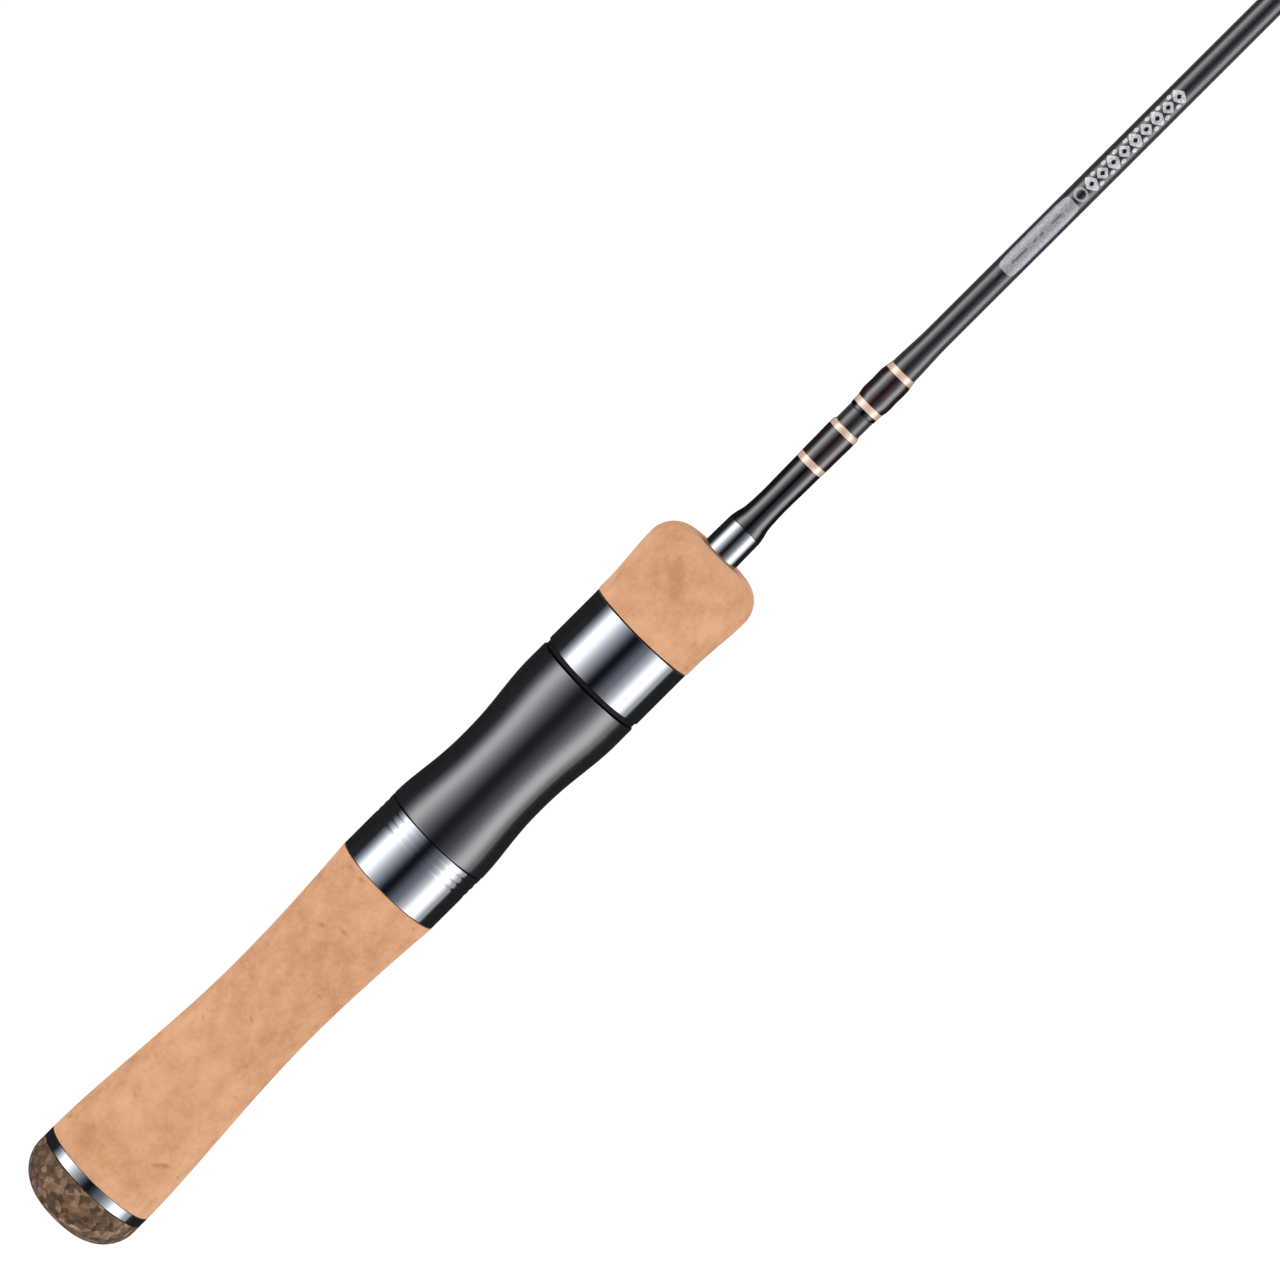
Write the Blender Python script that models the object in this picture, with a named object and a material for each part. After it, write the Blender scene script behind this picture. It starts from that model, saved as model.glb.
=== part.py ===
"""Ice fishing rod with a cork handle, a spinning reel seat and a tip section that pulls out of its ferrule.

Frame: origin at the centre of the butt end, +X along the rod from butt to tip, +Z on the side away from the
reel. The reel foot and the line guides are on the -Z side. Sizes below are in millimetres.
"""

import math

import bmesh
import bpy
from mathutils import Matrix, Vector

MM = 0.001

# Clearances
SEAM = 0.1              # between the end faces of pieces that butt against each other
GLUE = 0.3              # glue line between a bored piece and what it is glued to
WINDING_FIT = 0.05      # thread wound round the blank
CHECK_FIT = 0.1         # winding check on the blank
CORE_FIT = 0.15         # seat core and liner inside the hoods
RUNNING_FIT = 0.3       # between pieces that move past each other

# Handle, measured along the rod
CAP_LENGTH = 9.9
CAP_RADIUS = 12.95
CAP_ROUNDING = 8.2      # axial length of the rounded butt end
CAP_FLAT_RADIUS = 4.0
TRIM_RING_LENGTH = 2.4
REAR_GRIP_LENGTH = 80.5
GRIP_WAIST_FROM_REAR = 48.3
GRIP_WAIST_DEPTH = 1.45     # from the grip's front end down to its waist
GRIP_REAR_CURVE = 0.85      # powers that set how soon a curve leaves its end
GRIP_FRONT_CURVE = 1.8

# Reel seat
HOOD_LENGTH = 13.6
HOOD_RADIUS = 11.9
HOOD_WALL = 1.5
HOOD_STEP = 0.05            # by which cork and seat body stand above the hoods beside them
SEAT_OPENING_BODY = 42.0    # seat body between the fixed hood and the closed moving hood
SEAT_WAIST_FROM_HOOD = 18.0
SEAT_FRONT_SHOULDER = 5.0   # level stretch in front of the waist's curve
SEAT_WAIST_DEPTH = 1.3
SEAT_CURVE = 1.3
SEAT_EDGE = 0.4             # broken edges of the moulding
BED_DEPTH = 6.05            # from the rod's axis to the face that the reel foot sits on
POCKET_STEP = 0.2           # by which the floor inside the two hoods is nearer the axis
POCKET_STOP = 4.6           # solid stretch of the seat body at the back of the fixed hood
SEAT_BORE_RADIUS = 4.7
CLOSED_GAP = 1.2            # seat body to moving hood when the hood is screwed right back
MOVING_HOOD_LENGTH = 13.5
HOOD_LIP = 1.3              # length of the moving hood's inner lip, which carries the locking nut
BARREL_GAP = 5.2            # from the barrel's end to the knob's front wall
BARREL_LEAD = 1.0           # unthreaded end of the barrel
THREAD_DEPTH = 0.7
THREAD_PITCH = 2.5
THREAD_CLEARANCE = 0.4      # radial, between the barrel's thread and the nut's
LINER_WALL = 2.05
LINER_RIM_STEP = 0.3        # by which the liner's rim, behind the moving hood, is lower than the hood
LINER_GAP = 0.4             # from the liner's end to the locking nut's flange
LINER_END_WALL = 1.5        # stretch of the liner in front of its pocket
POCKET_MARGIN = 1.2         # by which the liner's pocket is wider and higher than the seat's
CUT_OVERSHOOT = 1.0
FLANGE_LENGTH = 1.8
NUT_WALL = 0.9
NUT_REAR_LEAD = 1.0         # unthreaded ends of the nut
NUT_FRONT_LEAD = 2.0
ARBOR_INSET = 2.0
ARBOR_LENGTH = 10.0

# Locking knob
KNOB_LENGTH = 21.1
KNOB_STEP = 0.15            # by which its rear edge stands above the hood
KNOB_SWELL = 0.75           # from the rear edge up to its largest radius
KNOB_ROUNDING = 6.0
KNOB_CURVE = 1.4
KNOB_FRONT_WALL = 2.3

# Blank, windings and ferrule
HANDLE_BLANK_RADIUS = 2.93
HANDLE_BLANK_WALL = 0.58
HANDLE_BLANK_START = 4.6
CHECK_LENGTH = 7.6
CHECK_REACH = 1.2           # by which the check stands inside the knob's front bore
CHECK_WALL = 1.11
CHECK_TAPER = 0.1
CHECK_CHAMFER = 0.25
GRIP_WINDING_LENGTH = 18.0
GRIP_WINDING_WALL = 0.2     # thread and epoxy above the blank
GRIP_WINDING_RAMP = 3.7
GRIP_WINDING_STEP = 0.2     # from the winding check's radius down to the winding's ramp
TRIM_LENGTH = 1.4
WINDING_LENGTH = 7.7
REAR_WINDING_WALL = 0.31
FRONT_WINDING_WALL = 0.41
TRIM_WALL = 0.24
BARE_LENGTH = 3.9
COLLAR_LENGTH = 1.0
MALE_FERRULE_LENGTH = 42.0
MALE_FERRULE_LEAD = 0.6     # chamfer on the male ferrule's end, and its depth
MALE_FERRULE_LEAD_DEPTH = 0.3
FERRULE_FIT = 0.15          # radial, between the male ferrule and the handle tube
SWELL_LENGTH = 20.5         # thicker foot of the tip section
SWELL_STEP = 0.31           # by which that foot is thicker than the start of the taper
TIP_END_RADIUS = 0.85
TAPER_CURVE = 2.2

# Tip section and guides
ROD_LENGTH = 711.0
GUIDE_SPACINGS = (45.0, 55.0, 65.0, 80.0, 99.0)     # from the tip back to the first guide
GUIDE_RING_RADII = (3.0, 3.5, 4.0, 6.0, 8.0)        # outside of the holder, tip side first
GUIDE_CLEARANCE = (1.6, 1.8, 2.0, 2.4, 3.0)         # from the blank's surface to the holder
GUIDE_REACH = (3.3, 3.85, 4.4, 6.6, 8.8)            # from the foot's front end to the ring
TIP_TOP_RING_RADIUS = 3.0
TIP_TOP_REACH = 3.2
TIP_TOP_CLEARANCE = 0.9
TIP_TOP_CERAMIC_WALL = 0.88
TIP_TUBE_LENGTH = 9.0
TIP_TUBE_WALL = 0.35
TIP_TUBE_END_WALL = 0.7
TIP_LEG_SETBACK = 2.0       # from the tube's end back to its legs
TIP_LEG_DROP = 0.2
TIP_WINDING_LENGTH = 3.9
HOLDER_WALL = 0.7
HOLDER_WIDTH = 1.4
CERAMIC_WALL = 1.1
CERAMIC_WIDTH = 1.9
CERAMIC_CHAMFER = 0.3
RING_FIT = 0.06
LEG_RADIUS = 0.45
LEG_SPREAD_DEG = 55.0       # round the ring from its top to where a leg meets it
LEG_SIDE = 0.38             # from the foot's middle line to a leg's
LEG_DROP = 0.52             # from the blank's surface to a leg's line
LEG_SINK = 0.1              # by which a leg sits inside the tube's surface
FOOT_LENGTH = 8.0
FOOT_WIDTH = 1.3
FOOT_THICKNESS = 0.45
FOOT_OVERLAP = 0.6          # of the foot past the start of its legs
GUIDE_WINDING_WALL = 0.3
GUIDE_WINDING_OVERRUN = 1.0     # past the foot's rear end
GUIDE_HEEL_BARE = 1.2           # stretch of the foot left bare in front of the winding

# How finely round pieces are faceted
FINE = 32
COARSE = 20
SMALL = 16

# Stations worked out from the lengths above
CAP_END = CAP_LENGTH
GRIP_START = CAP_END + TRIM_RING_LENGTH
GRIP_END = GRIP_START + REAR_GRIP_LENGTH
HOOD_END = GRIP_END + HOOD_LENGTH
SEAT_END = HOOD_END + SEAT_OPENING_BODY
MOVING_HOOD_START = SEAT_END + CLOSED_GAP
MOVING_HOOD_END = MOVING_HOOD_START + MOVING_HOOD_LENGTH
KNOB_START = MOVING_HOOD_END + GLUE
KNOB_END = KNOB_START + KNOB_LENGTH
BARREL_END = KNOB_END - KNOB_FRONT_WALL - BARREL_GAP
FLANGE_END = MOVING_HOOD_END - HOOD_LIP - RUNNING_FIT
FLANGE_START = FLANGE_END - FLANGE_LENGTH
LINER_START = SEAT_END + RUNNING_FIT
LINER_RIM_END = MOVING_HOOD_START - SEAM
LINER_END = FLANGE_START - LINER_GAP
CHECK_START = KNOB_END - CHECK_REACH
CHECK_END = CHECK_START + CHECK_LENGTH
GRIP_WINDING_END = CHECK_END + GRIP_WINDING_LENGTH
REAR_WINDING_START = GRIP_WINDING_END + TRIM_LENGTH
REAR_WINDING_END = REAR_WINDING_START + WINDING_LENGTH
HANDLE_END = REAR_WINDING_END + TRIM_LENGTH + BARE_LENGTH
FRONT_TRIM_START = HANDLE_END + COLLAR_LENGTH
FRONT_WINDING_START = FRONT_TRIM_START + TRIM_LENGTH
FRONT_WINDING_END = FRONT_WINDING_START + WINDING_LENGTH
TIP_TUBE_START = ROD_LENGTH - TIP_TUBE_LENGTH
TIP_BLANK_END = ROD_LENGTH - TIP_TUBE_END_WALL - GLUE

# Radii worked out from the values above
SHOULDER_RADIUS = HOOD_RADIUS + HOOD_STEP
GRIP_WAIST_RADIUS = SHOULDER_RADIUS - GRIP_WAIST_DEPTH
SEAT_WAIST_RADIUS = SHOULDER_RADIUS - SEAT_WAIST_DEPTH
POCKET_FLOOR = BED_DEPTH - POCKET_STEP
HOOD_BORE = HOOD_RADIUS - HOOD_WALL
LINER_RADIUS = HOOD_BORE - CORE_FIT
LINER_BORE = LINER_RADIUS - LINER_WALL
THREAD_ROOT_RADIUS = LINER_BORE - RUNNING_FIT - THREAD_DEPTH
KEY_FLAT = THREAD_ROOT_RADIUS       # flat on top of the barrel that stops the moving hood from turning
NUT_ROOT_RADIUS = THREAD_ROOT_RADIUS + THREAD_CLEARANCE
NUT_RADIUS = NUT_ROOT_RADIUS + THREAD_DEPTH + NUT_WALL
LIP_BORE = NUT_RADIUS + RUNNING_FIT
KNOB_BORE = NUT_RADIUS + GLUE
KNOB_REAR_RADIUS = HOOD_RADIUS + KNOB_STEP
KNOB_LARGEST_RADIUS = KNOB_REAR_RADIUS + KNOB_SWELL
CHECK_RADIUS = HANDLE_BLANK_RADIUS + CHECK_WALL
GRIP_WINDING_RADIUS = HANDLE_BLANK_RADIUS + GRIP_WINDING_WALL
REAR_WINDING_RADIUS = HANDLE_BLANK_RADIUS + REAR_WINDING_WALL
FRONT_WINDING_RADIUS = HANDLE_BLANK_RADIUS + FRONT_WINDING_WALL
TRIM_RADIUS = HANDLE_BLANK_RADIUS + TRIM_WALL
TIP_FOOT_RADIUS = HANDLE_BLANK_RADIUS - SWELL_STEP
KNOB_FRONT_BORE = CHECK_RADIUS + RUNNING_FIT + WINDING_FIT
BLANK_BORE = HANDLE_BLANK_RADIUS - HANDLE_BLANK_WALL
WINDING_BORE = HANDLE_BLANK_RADIUS + WINDING_FIT


def clear_scene():
    for obj in list(bpy.data.objects):
        bpy.data.objects.remove(obj, do_unlink=True)


def principled(name, colour, roughness, metallic=0.0):
    material = bpy.data.materials.new(name)
    material.use_nodes = True
    shader = material.node_tree.nodes["Principled BSDF"]
    shader.inputs["Base Color"].default_value = (*colour, 1.0)
    shader.inputs["Roughness"].default_value = roughness
    shader.inputs["Metallic"].default_value = metallic
    return material


def finish_object(name, bm, material, body):
    """Turn a bmesh in metres into a smooth-shaded object under its body's empty."""
    bmesh.ops.remove_doubles(bm, verts=bm.verts, dist=1e-6)
    bmesh.ops.recalc_face_normals(bm, faces=bm.faces)
    mesh = bpy.data.meshes.new(name)
    bm.to_mesh(mesh)
    bm.free()
    mesh.materials.append(material)
    mesh.shade_smooth()
    mesh.set_sharp_from_angle(angle=math.radians(35))
    obj = bpy.data.objects.new(name, mesh)
    bpy.context.scene.collection.objects.link(obj)
    if body:
        obj.parent = body
        obj.matrix_parent_inverse = Matrix.Translation(-body.location)
    return obj


def spin_profile(bm, profile, closed, segments):
    """Spin a profile of (x, radius) points in millimetres about the rod's axis."""
    verts = [bm.verts.new((x * MM, 0.0, r * MM)) for x, r in profile]
    pairs = list(zip(verts, verts[1:]))
    if closed:
        pairs.append((verts[-1], verts[0]))
    edges = [bm.edges.new(pair) for pair in pairs]
    bmesh.ops.spin(
        bm, geom=verts + edges, cent=(0, 0, 0), axis=(1, 0, 0), dvec=(0, 0, 0),
        angle=math.tau, steps=segments, use_merge=True,
    )


def turned(name, outer, bore, material, body, segments=FINE):
    """A turned piece: outer runs from rear to front, and bore, if any, from rear to front too."""
    bm = bmesh.new()
    spin_profile(bm, outer + bore[::-1], bool(bore), segments)
    return finish_object(name, bm, material, body)


def sleeve(name, start, end, radius, bore, material, body, segments=COARSE):
    """A plain ring or sleeve."""
    outer = [(start, radius), (end, radius)]
    return turned(name, outer, [(start, bore), (end, bore)], material, body, segments)


def arc(centre, axial, radial, start_deg, end_deg, steps):
    """Points (x, radius) on an ellipse arc. 0 degrees is +X and 90 degrees is outwards."""
    turns = [math.radians(start_deg + (end_deg - start_deg) * i / steps) for i in range(steps + 1)]
    return [(centre[0] + axial * math.cos(a), centre[1] + radial * math.sin(a)) for a in turns]


def eased(x, x0, x1, r0, r1, sharpness=1.0):
    """Radius that eases from r0 at x0 to r1 at x1 with level ends."""
    t = min(max((x - x0) / (x1 - x0), 0.0), 1.0)
    return r0 + (r1 - r0) * (t * t * (3 - 2 * t)) ** sharpness


def stations(start, end, count):
    return [start + (end - start) * i / count for i in range(count + 1)]


def flatten_below(bm, start, end, level):
    """Press what lies under the level (mm) between two stations up to it, leaving a flat."""
    for vert in bm.verts:
        if start * MM <= vert.co.x <= end * MM and vert.co.z < level * MM:
            vert.co.z = level * MM


def thread_wall(bm, start, end, root, datum, runout):
    """A right-hand thread between two stations, as a grid that follows the helix.

    Threads with the same datum are in step. Rows outside the stretch are pressed onto its ends, where the
    thread runs out: to the root radius at runout 0, as on a bolt, or to the crest at 1, as in a nut.
    """
    rows_per_turn = 4
    heights = (0.0, 0.5, 1.0, 0.5)
    first = rows_per_turn * math.floor((start - datum) / THREAD_PITCH)
    last = rows_per_turn * math.ceil((end - datum) / THREAD_PITCH + 1)
    columns = []
    for j in range(FINE + 1):
        turn = math.tau * j / FINE
        column = []
        for k in range(first, last + 1):
            x = datum + THREAD_PITCH * (k / rows_per_turn + j / FINE - 1)
            x = min(max(x, start), end)
            fade = min(x - start, end - x, THREAD_PITCH) / THREAD_PITCH
            height = heights[k % rows_per_turn] * fade + runout * (1 - fade)
            r = root + THREAD_DEPTH * height
            column.append(bm.verts.new((x * MM, -r * math.sin(turn) * MM, r * math.cos(turn) * MM)))
        columns.append(column)
    for left, right in zip(columns, columns[1:]):
        for k in range(last - first):
            bm.faces.new((left[k], left[k + 1], right[k + 1], right[k]))


def cut_box(target, low, high):
    """Cut a box, given by two corners in millimetres, out of an object."""
    bm = bmesh.new()
    bmesh.ops.create_cube(bm, size=1.0)
    for vert in bm.verts:
        vert.co = Vector((low[i] if vert.co[i] < 0 else high[i]) * MM for i in range(3))
    mesh = bpy.data.meshes.new(target.name + "_cut")
    bm.to_mesh(mesh)
    bm.free()
    cutter = bpy.data.objects.new(mesh.name, mesh)
    bpy.context.scene.collection.objects.link(cutter)
    cutter.hide_render = True
    cutter.display_type = "WIRE"
    modifier = target.modifiers.new("cut", "BOOLEAN")
    modifier.operation = "DIFFERENCE"
    modifier.object = cutter


def joined(name, pieces, material, body):
    """Join closed meshes (bmeshes in metres) into one solid by Boolean unions."""
    first = finish_object(name, pieces[0], material, body)
    for i, bm in enumerate(pieces[1:]):
        helper = finish_object(f"{name}_part_{i}", bm, material, None)
        helper.hide_render = True
        helper.display_type = "WIRE"
        modifier = first.modifiers.new(f"join_{i}", "BOOLEAN")
        modifier.operation = "UNION"
        modifier.object = helper
    return first


def ring_mesh(x, z, outer, inner, width, segments, corner=0.0):
    """A ring about a line parallel to the rod's axis, with an optional chamfer."""
    bm = bmesh.new()
    half = width / 2
    profile = [
        (-half, inner + corner), (-half, outer - corner), (-half + corner, outer),
        (half - corner, outer), (half, outer - corner), (half, inner + corner),
        (half - corner, inner), (-half + corner, inner),
    ]
    spin_profile(bm, profile, True, segments)
    bmesh.ops.remove_doubles(bm, verts=bm.verts, dist=1e-6)
    bmesh.ops.translate(bm, verts=bm.verts, vec=(x * MM, 0, z * MM))
    return bm


def rod_mesh(start, end, radius, segments=8):
    """A round bar between two points in millimetres."""
    start = Vector(start) * MM
    end = Vector(end) * MM
    bm = bmesh.new()
    turn = (end - start).to_track_quat("Z", "Y").to_matrix().to_4x4()
    bmesh.ops.create_cone(
        bm, cap_ends=True, segments=segments, radius1=radius * MM, radius2=radius * MM,
        depth=(end - start).length, matrix=Matrix.Translation((start + end) / 2) @ turn,
    )
    return bm


def box_mesh(low, high):
    bm = bmesh.new()
    bmesh.ops.create_cube(bm, size=1.0)
    for vert in bm.verts:
        vert.co = Vector((low[i] if vert.co[i] < 0 else high[i]) * MM for i in range(3))
    return bm


def body_empty(name, x):
    empty = bpy.data.objects.new(name, None)
    empty.location = (x * MM, 0, 0)
    bpy.context.scene.collection.objects.link(empty)
    return empty


def blank_radius(x):
    """Radius of the tip section's blank: a thicker foot, a quick easing, then a slow taper to the tip."""
    swell_end = HANDLE_END + SWELL_LENGTH
    swell_start = FRONT_WINDING_END + TRIM_LENGTH
    if x < swell_end:
        return eased(x, swell_start, swell_end, HANDLE_BLANK_RADIUS, TIP_FOOT_RADIUS)
    share = (x - swell_end) / (ROD_LENGTH - swell_end)
    return TIP_FOOT_RADIUS + (TIP_END_RADIUS - TIP_FOOT_RADIUS) * share ** TAPER_CURVE


clear_scene()

rubber_cork = principled("rubber_cork", (0.155, 0.092, 0.053), 0.85)
cork = principled("cork", (0.72, 0.40, 0.20), 0.8)
bright_metal = principled("bright_metal", (0.62, 0.63, 0.68), 0.12, 1.0)
black_nylon = principled("black_nylon", (0.012, 0.013, 0.016), 0.18)
arbor_foam = principled("arbor_foam", (0.05, 0.05, 0.055), 0.7)
carbon = principled("carbon", (0.012, 0.012, 0.013), 0.22)
black_winding = principled("black_winding", (0.008, 0.008, 0.009), 0.12)
maroon_winding = principled("maroon_winding", (0.045, 0.008, 0.003), 0.15)
copper_trim = principled("copper_trim", (0.85, 0.55, 0.40), 0.25)
guide_metal = principled("guide_metal", (0.5, 0.5, 0.52), 0.2, 1.0)
guide_ceramic = principled("guide_ceramic", (0.02, 0.02, 0.022), 0.1)

handle = body_empty("handle", 0)
hood_body = body_empty("hood_body", MOVING_HOOD_START)
knob_body = body_empty("knob_body", KNOB_START)
tip_body = body_empty("tip_body", HANDLE_END)


def make_grips():
    cap_top = arc((CAP_ROUNDING, CAP_FLAT_RADIUS), CAP_ROUNDING, CAP_RADIUS - CAP_FLAT_RADIUS, 180, 90, 8)
    bore = HANDLE_BLANK_RADIUS + GLUE
    bore_end = HANDLE_BLANK_START - GLUE
    outline = [(0, 0)] + cap_top + [(CAP_END, CAP_RADIUS), (CAP_END, bore), (bore_end, bore), (bore_end, 0)]
    turned("butt_cap", outline, [], rubber_cork, handle)
    sleeve("butt_trim_ring", CAP_END + SEAM, GRIP_START - SEAM, CAP_RADIUS, bore, bright_metal, handle, FINE)
    waist = GRIP_START + GRIP_WAIST_FROM_REAR
    front = GRIP_END - SEAM
    rear_half = [(x, eased(x, GRIP_START, waist, CAP_RADIUS, GRIP_WAIST_RADIUS, GRIP_REAR_CURVE))
                 for x in stations(GRIP_START, waist, 9)]
    front_half = [(x, SHOULDER_RADIUS
                   - GRIP_WAIST_DEPTH * (1 - ((x - waist) / (front - waist)) ** GRIP_FRONT_CURVE))
                  for x in stations(waist, front, 6)[1:]]
    turned("rear_grip", rear_half + front_half, [(GRIP_START, bore), (front, bore)], cork, handle)


def make_fixed_hood():
    sleeve("rear_hood", GRIP_END, HOOD_END, HOOD_RADIUS, HOOD_BORE, bright_metal, handle, FINE)


def make_seat_body():
    """The seat's moulding: a core under the fixed hood, the waisted body and the threaded barrel."""
    step = SEAT_EDGE
    start = GRIP_END + SEAM
    core = HOOD_BORE - CORE_FIT
    stop = start + POCKET_STOP
    body_start = HOOD_END + SEAM
    waist = HOOD_END + SEAT_WAIST_FROM_HOOD
    curve_end = SEAT_END - SEAT_FRONT_SHOULDER
    rear_half = [(x, eased(x, waist, body_start, SEAT_WAIST_RADIUS, SHOULDER_RADIUS, SEAT_CURVE))
                 for x in stations(body_start + step, waist, 7)]
    front_half = [(x, eased(x, waist, curve_end, SEAT_WAIST_RADIUS, SHOULDER_RADIUS, SEAT_CURVE))
                  for x in stations(waist, SEAT_END, 8)[1:-1]]
    front_edge = [(SEAT_END - step, SHOULDER_RADIUS), (SEAT_END, SHOULDER_RADIUS - step)]
    thread_end = BARREL_END - BARREL_LEAD
    outline = [(start, SEAT_BORE_RADIUS), (start, core), (stop, core), (stop + step, core),
               (body_start, core), (body_start, SHOULDER_RADIUS - step)]
    outline += rear_half + front_half + front_edge
    outline += [(SEAT_END, THREAD_ROOT_RADIUS), (MOVING_HOOD_START, THREAD_ROOT_RADIUS)]
    bm = bmesh.new()
    spin_profile(bm, outline, False, FINE)
    thread_wall(bm, MOVING_HOOD_START, thread_end, THREAD_ROOT_RADIUS, MOVING_HOOD_START, 0)
    spin_profile(bm, [(thread_end, THREAD_ROOT_RADIUS), (BARREL_END, THREAD_ROOT_RADIUS - step),
                      (BARREL_END, SEAT_BORE_RADIUS), (start, SEAT_BORE_RADIUS)], False, FINE)
    flatten_below(bm, stop + step / 2, HOOD_END + step / 4, -POCKET_FLOOR)
    flatten_below(bm, body_start - step / 4, SEAT_END + step / 4, -BED_DEPTH)
    flatten_below(bm, SEAT_END + step / 4, BARREL_END, -POCKET_FLOOR)
    for vert in bm.verts:
        if vert.co.x > MOVING_HOOD_START * MM:
            vert.co.z = min(vert.co.z, KEY_FLAT * MM)
    finish_object("reel_seat_body", bm, black_nylon, handle)
    arbor = SEAT_BORE_RADIUS - GLUE / 2
    bore = HANDLE_BLANK_RADIUS + GLUE / 2
    rear = start + ARBOR_INSET
    front = BARREL_END - ARBOR_INSET
    sleeve("seat_arbor_rear", rear, rear + ARBOR_LENGTH, arbor, bore, arbor_foam, handle)
    sleeve("seat_arbor_front", front - ARBOR_LENGTH, front, arbor, bore, arbor_foam, handle)


def make_moving_hood():
    lip_start = MOVING_HOOD_END - HOOD_LIP
    turned(
        "moving_hood",
        [(MOVING_HOOD_START, HOOD_RADIUS), (MOVING_HOOD_END, HOOD_RADIUS)],
        [(MOVING_HOOD_START, HOOD_BORE), (lip_start, HOOD_BORE), (lip_start, LIP_BORE),
         (MOVING_HOOD_END, LIP_BORE)],
        bright_metal, hood_body,
    )
    rim = HOOD_RADIUS - LINER_RIM_STEP
    bm = bmesh.new()
    spin_profile(bm, [(LINER_START, rim), (LINER_RIM_END, rim), (LINER_RIM_END, LINER_RADIUS),
                      (LINER_END, LINER_RADIUS), (LINER_END, LINER_BORE), (LINER_START, LINER_BORE)],
                 True, FINE)
    bmesh.ops.remove_doubles(bm, verts=bm.verts, dist=1e-6)
    middle = (LINER_RADIUS + LINER_BORE) / 2 * MM
    for vert in bm.verts:
        if math.hypot(vert.co.y, vert.co.z) < middle:
            vert.co.z = min(vert.co.z, (KEY_FLAT + RUNNING_FIT) * MM)
    liner = finish_object("hood_liner", bm, black_nylon, hood_body)
    half_width = math.sqrt(LINER_BORE ** 2 - POCKET_FLOOR ** 2) + POCKET_MARGIN
    cut_box(liner, (LINER_START - CUT_OVERSHOOT, -half_width, -HOOD_RADIUS - CUT_OVERSHOOT),
            (LINER_END - LINER_END_WALL, half_width, -POCKET_FLOOR + POCKET_MARGIN))


def make_locking_knob():
    """The nut's flange is caught behind the moving hood's lip, so the two travel together."""
    nut_end = KNOB_END - KNOB_FRONT_WALL - GLUE
    thread_start = FLANGE_START + NUT_REAR_LEAD
    thread_end = nut_end - NUT_FRONT_LEAD
    flange = HOOD_BORE - RUNNING_FIT
    bore = NUT_ROOT_RADIUS + THREAD_DEPTH
    bm = bmesh.new()
    spin_profile(bm, [(thread_start, bore), (FLANGE_START, bore), (FLANGE_START, flange),
                      (FLANGE_END, flange), (FLANGE_END, NUT_RADIUS), (nut_end, NUT_RADIUS),
                      (nut_end, bore), (thread_end, bore)], False, FINE)
    thread_wall(bm, thread_start, thread_end, NUT_ROOT_RADIUS, MOVING_HOOD_START, 1)
    finish_object("locking_nut", bm, black_nylon, knob_body)
    front_wall = KNOB_END - KNOB_FRONT_WALL
    corner_x = KNOB_END - KNOB_ROUNDING
    flare = [(x, eased(x, KNOB_START, corner_x, KNOB_REAR_RADIUS, KNOB_LARGEST_RADIUS, KNOB_CURVE))
             for x in stations(KNOB_START, corner_x, 6)[:-1]]
    corner = arc((corner_x, KNOB_LARGEST_RADIUS - KNOB_ROUNDING), KNOB_ROUNDING, KNOB_ROUNDING, 90, 0, 7)
    turned(
        "fore_grip", flare + corner,
        [(KNOB_START, KNOB_BORE), (front_wall, KNOB_BORE), (front_wall, KNOB_FRONT_BORE),
         (KNOB_END, KNOB_FRONT_BORE)],
        cork, knob_body,
    )


def make_handle_blank():
    sleeve("handle_blank", HANDLE_BLANK_START, HANDLE_END, HANDLE_BLANK_RADIUS, BLANK_BORE, carbon, handle)
    check_bore = HANDLE_BLANK_RADIUS + CHECK_FIT
    check_front = CHECK_RADIUS - CHECK_TAPER
    turned(
        "winding_check",
        [(CHECK_START, CHECK_RADIUS - CHECK_CHAMFER), (CHECK_START + CHECK_CHAMFER, CHECK_RADIUS),
         (CHECK_END - CHECK_CHAMFER, check_front), (CHECK_END, check_front - CHECK_CHAMFER)],
        [(CHECK_START, check_bore), (CHECK_END, check_bore)],
        bright_metal, handle, COARSE,
    )
    start = CHECK_END + SEAM
    ramp_end = start + GRIP_WINDING_RAMP
    ramp = [(x, eased(x, start, ramp_end, CHECK_RADIUS - GRIP_WINDING_STEP, GRIP_WINDING_RADIUS))
            for x in stations(start, ramp_end, 4)]
    end = GRIP_WINDING_END - SEAM
    turned("grip_winding", ramp + [(end, GRIP_WINDING_RADIUS)],
           [(start, WINDING_BORE), (end, WINDING_BORE)], black_winding, handle, COARSE)


def make_ferrule_windings():
    """Two dark windings with bright trims, one on each side of the ferrule's joint."""
    rear_trim = GRIP_WINDING_END
    front_trim_end = FRONT_WINDING_END + TRIM_LENGTH
    rear_trim_end = REAR_WINDING_END + TRIM_LENGTH
    windings = (
        ("ferrule_trim_1", rear_trim, REAR_WINDING_START, TRIM_RADIUS, copper_trim, handle),
        ("ferrule_winding_rear", REAR_WINDING_START, REAR_WINDING_END, REAR_WINDING_RADIUS, maroon_winding,
         handle),
        ("ferrule_trim_2", REAR_WINDING_END, rear_trim_end, TRIM_RADIUS, copper_trim, handle),
        ("ferrule_collar", HANDLE_END + SEAM, FRONT_TRIM_START, TRIM_RADIUS, bright_metal, tip_body),
        ("ferrule_trim_3", FRONT_TRIM_START, FRONT_WINDING_START, TRIM_RADIUS, copper_trim, tip_body),
        ("ferrule_winding_front", FRONT_WINDING_START, FRONT_WINDING_END, FRONT_WINDING_RADIUS,
         maroon_winding, tip_body),
        ("ferrule_trim_4", FRONT_WINDING_END, front_trim_end, TRIM_RADIUS, copper_trim, tip_body),
    )
    for name, start, end, radius, material, body in windings:
        sleeve(name, start + SEAM / 2, end - SEAM / 2, radius, WINDING_BORE, material, body)


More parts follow.
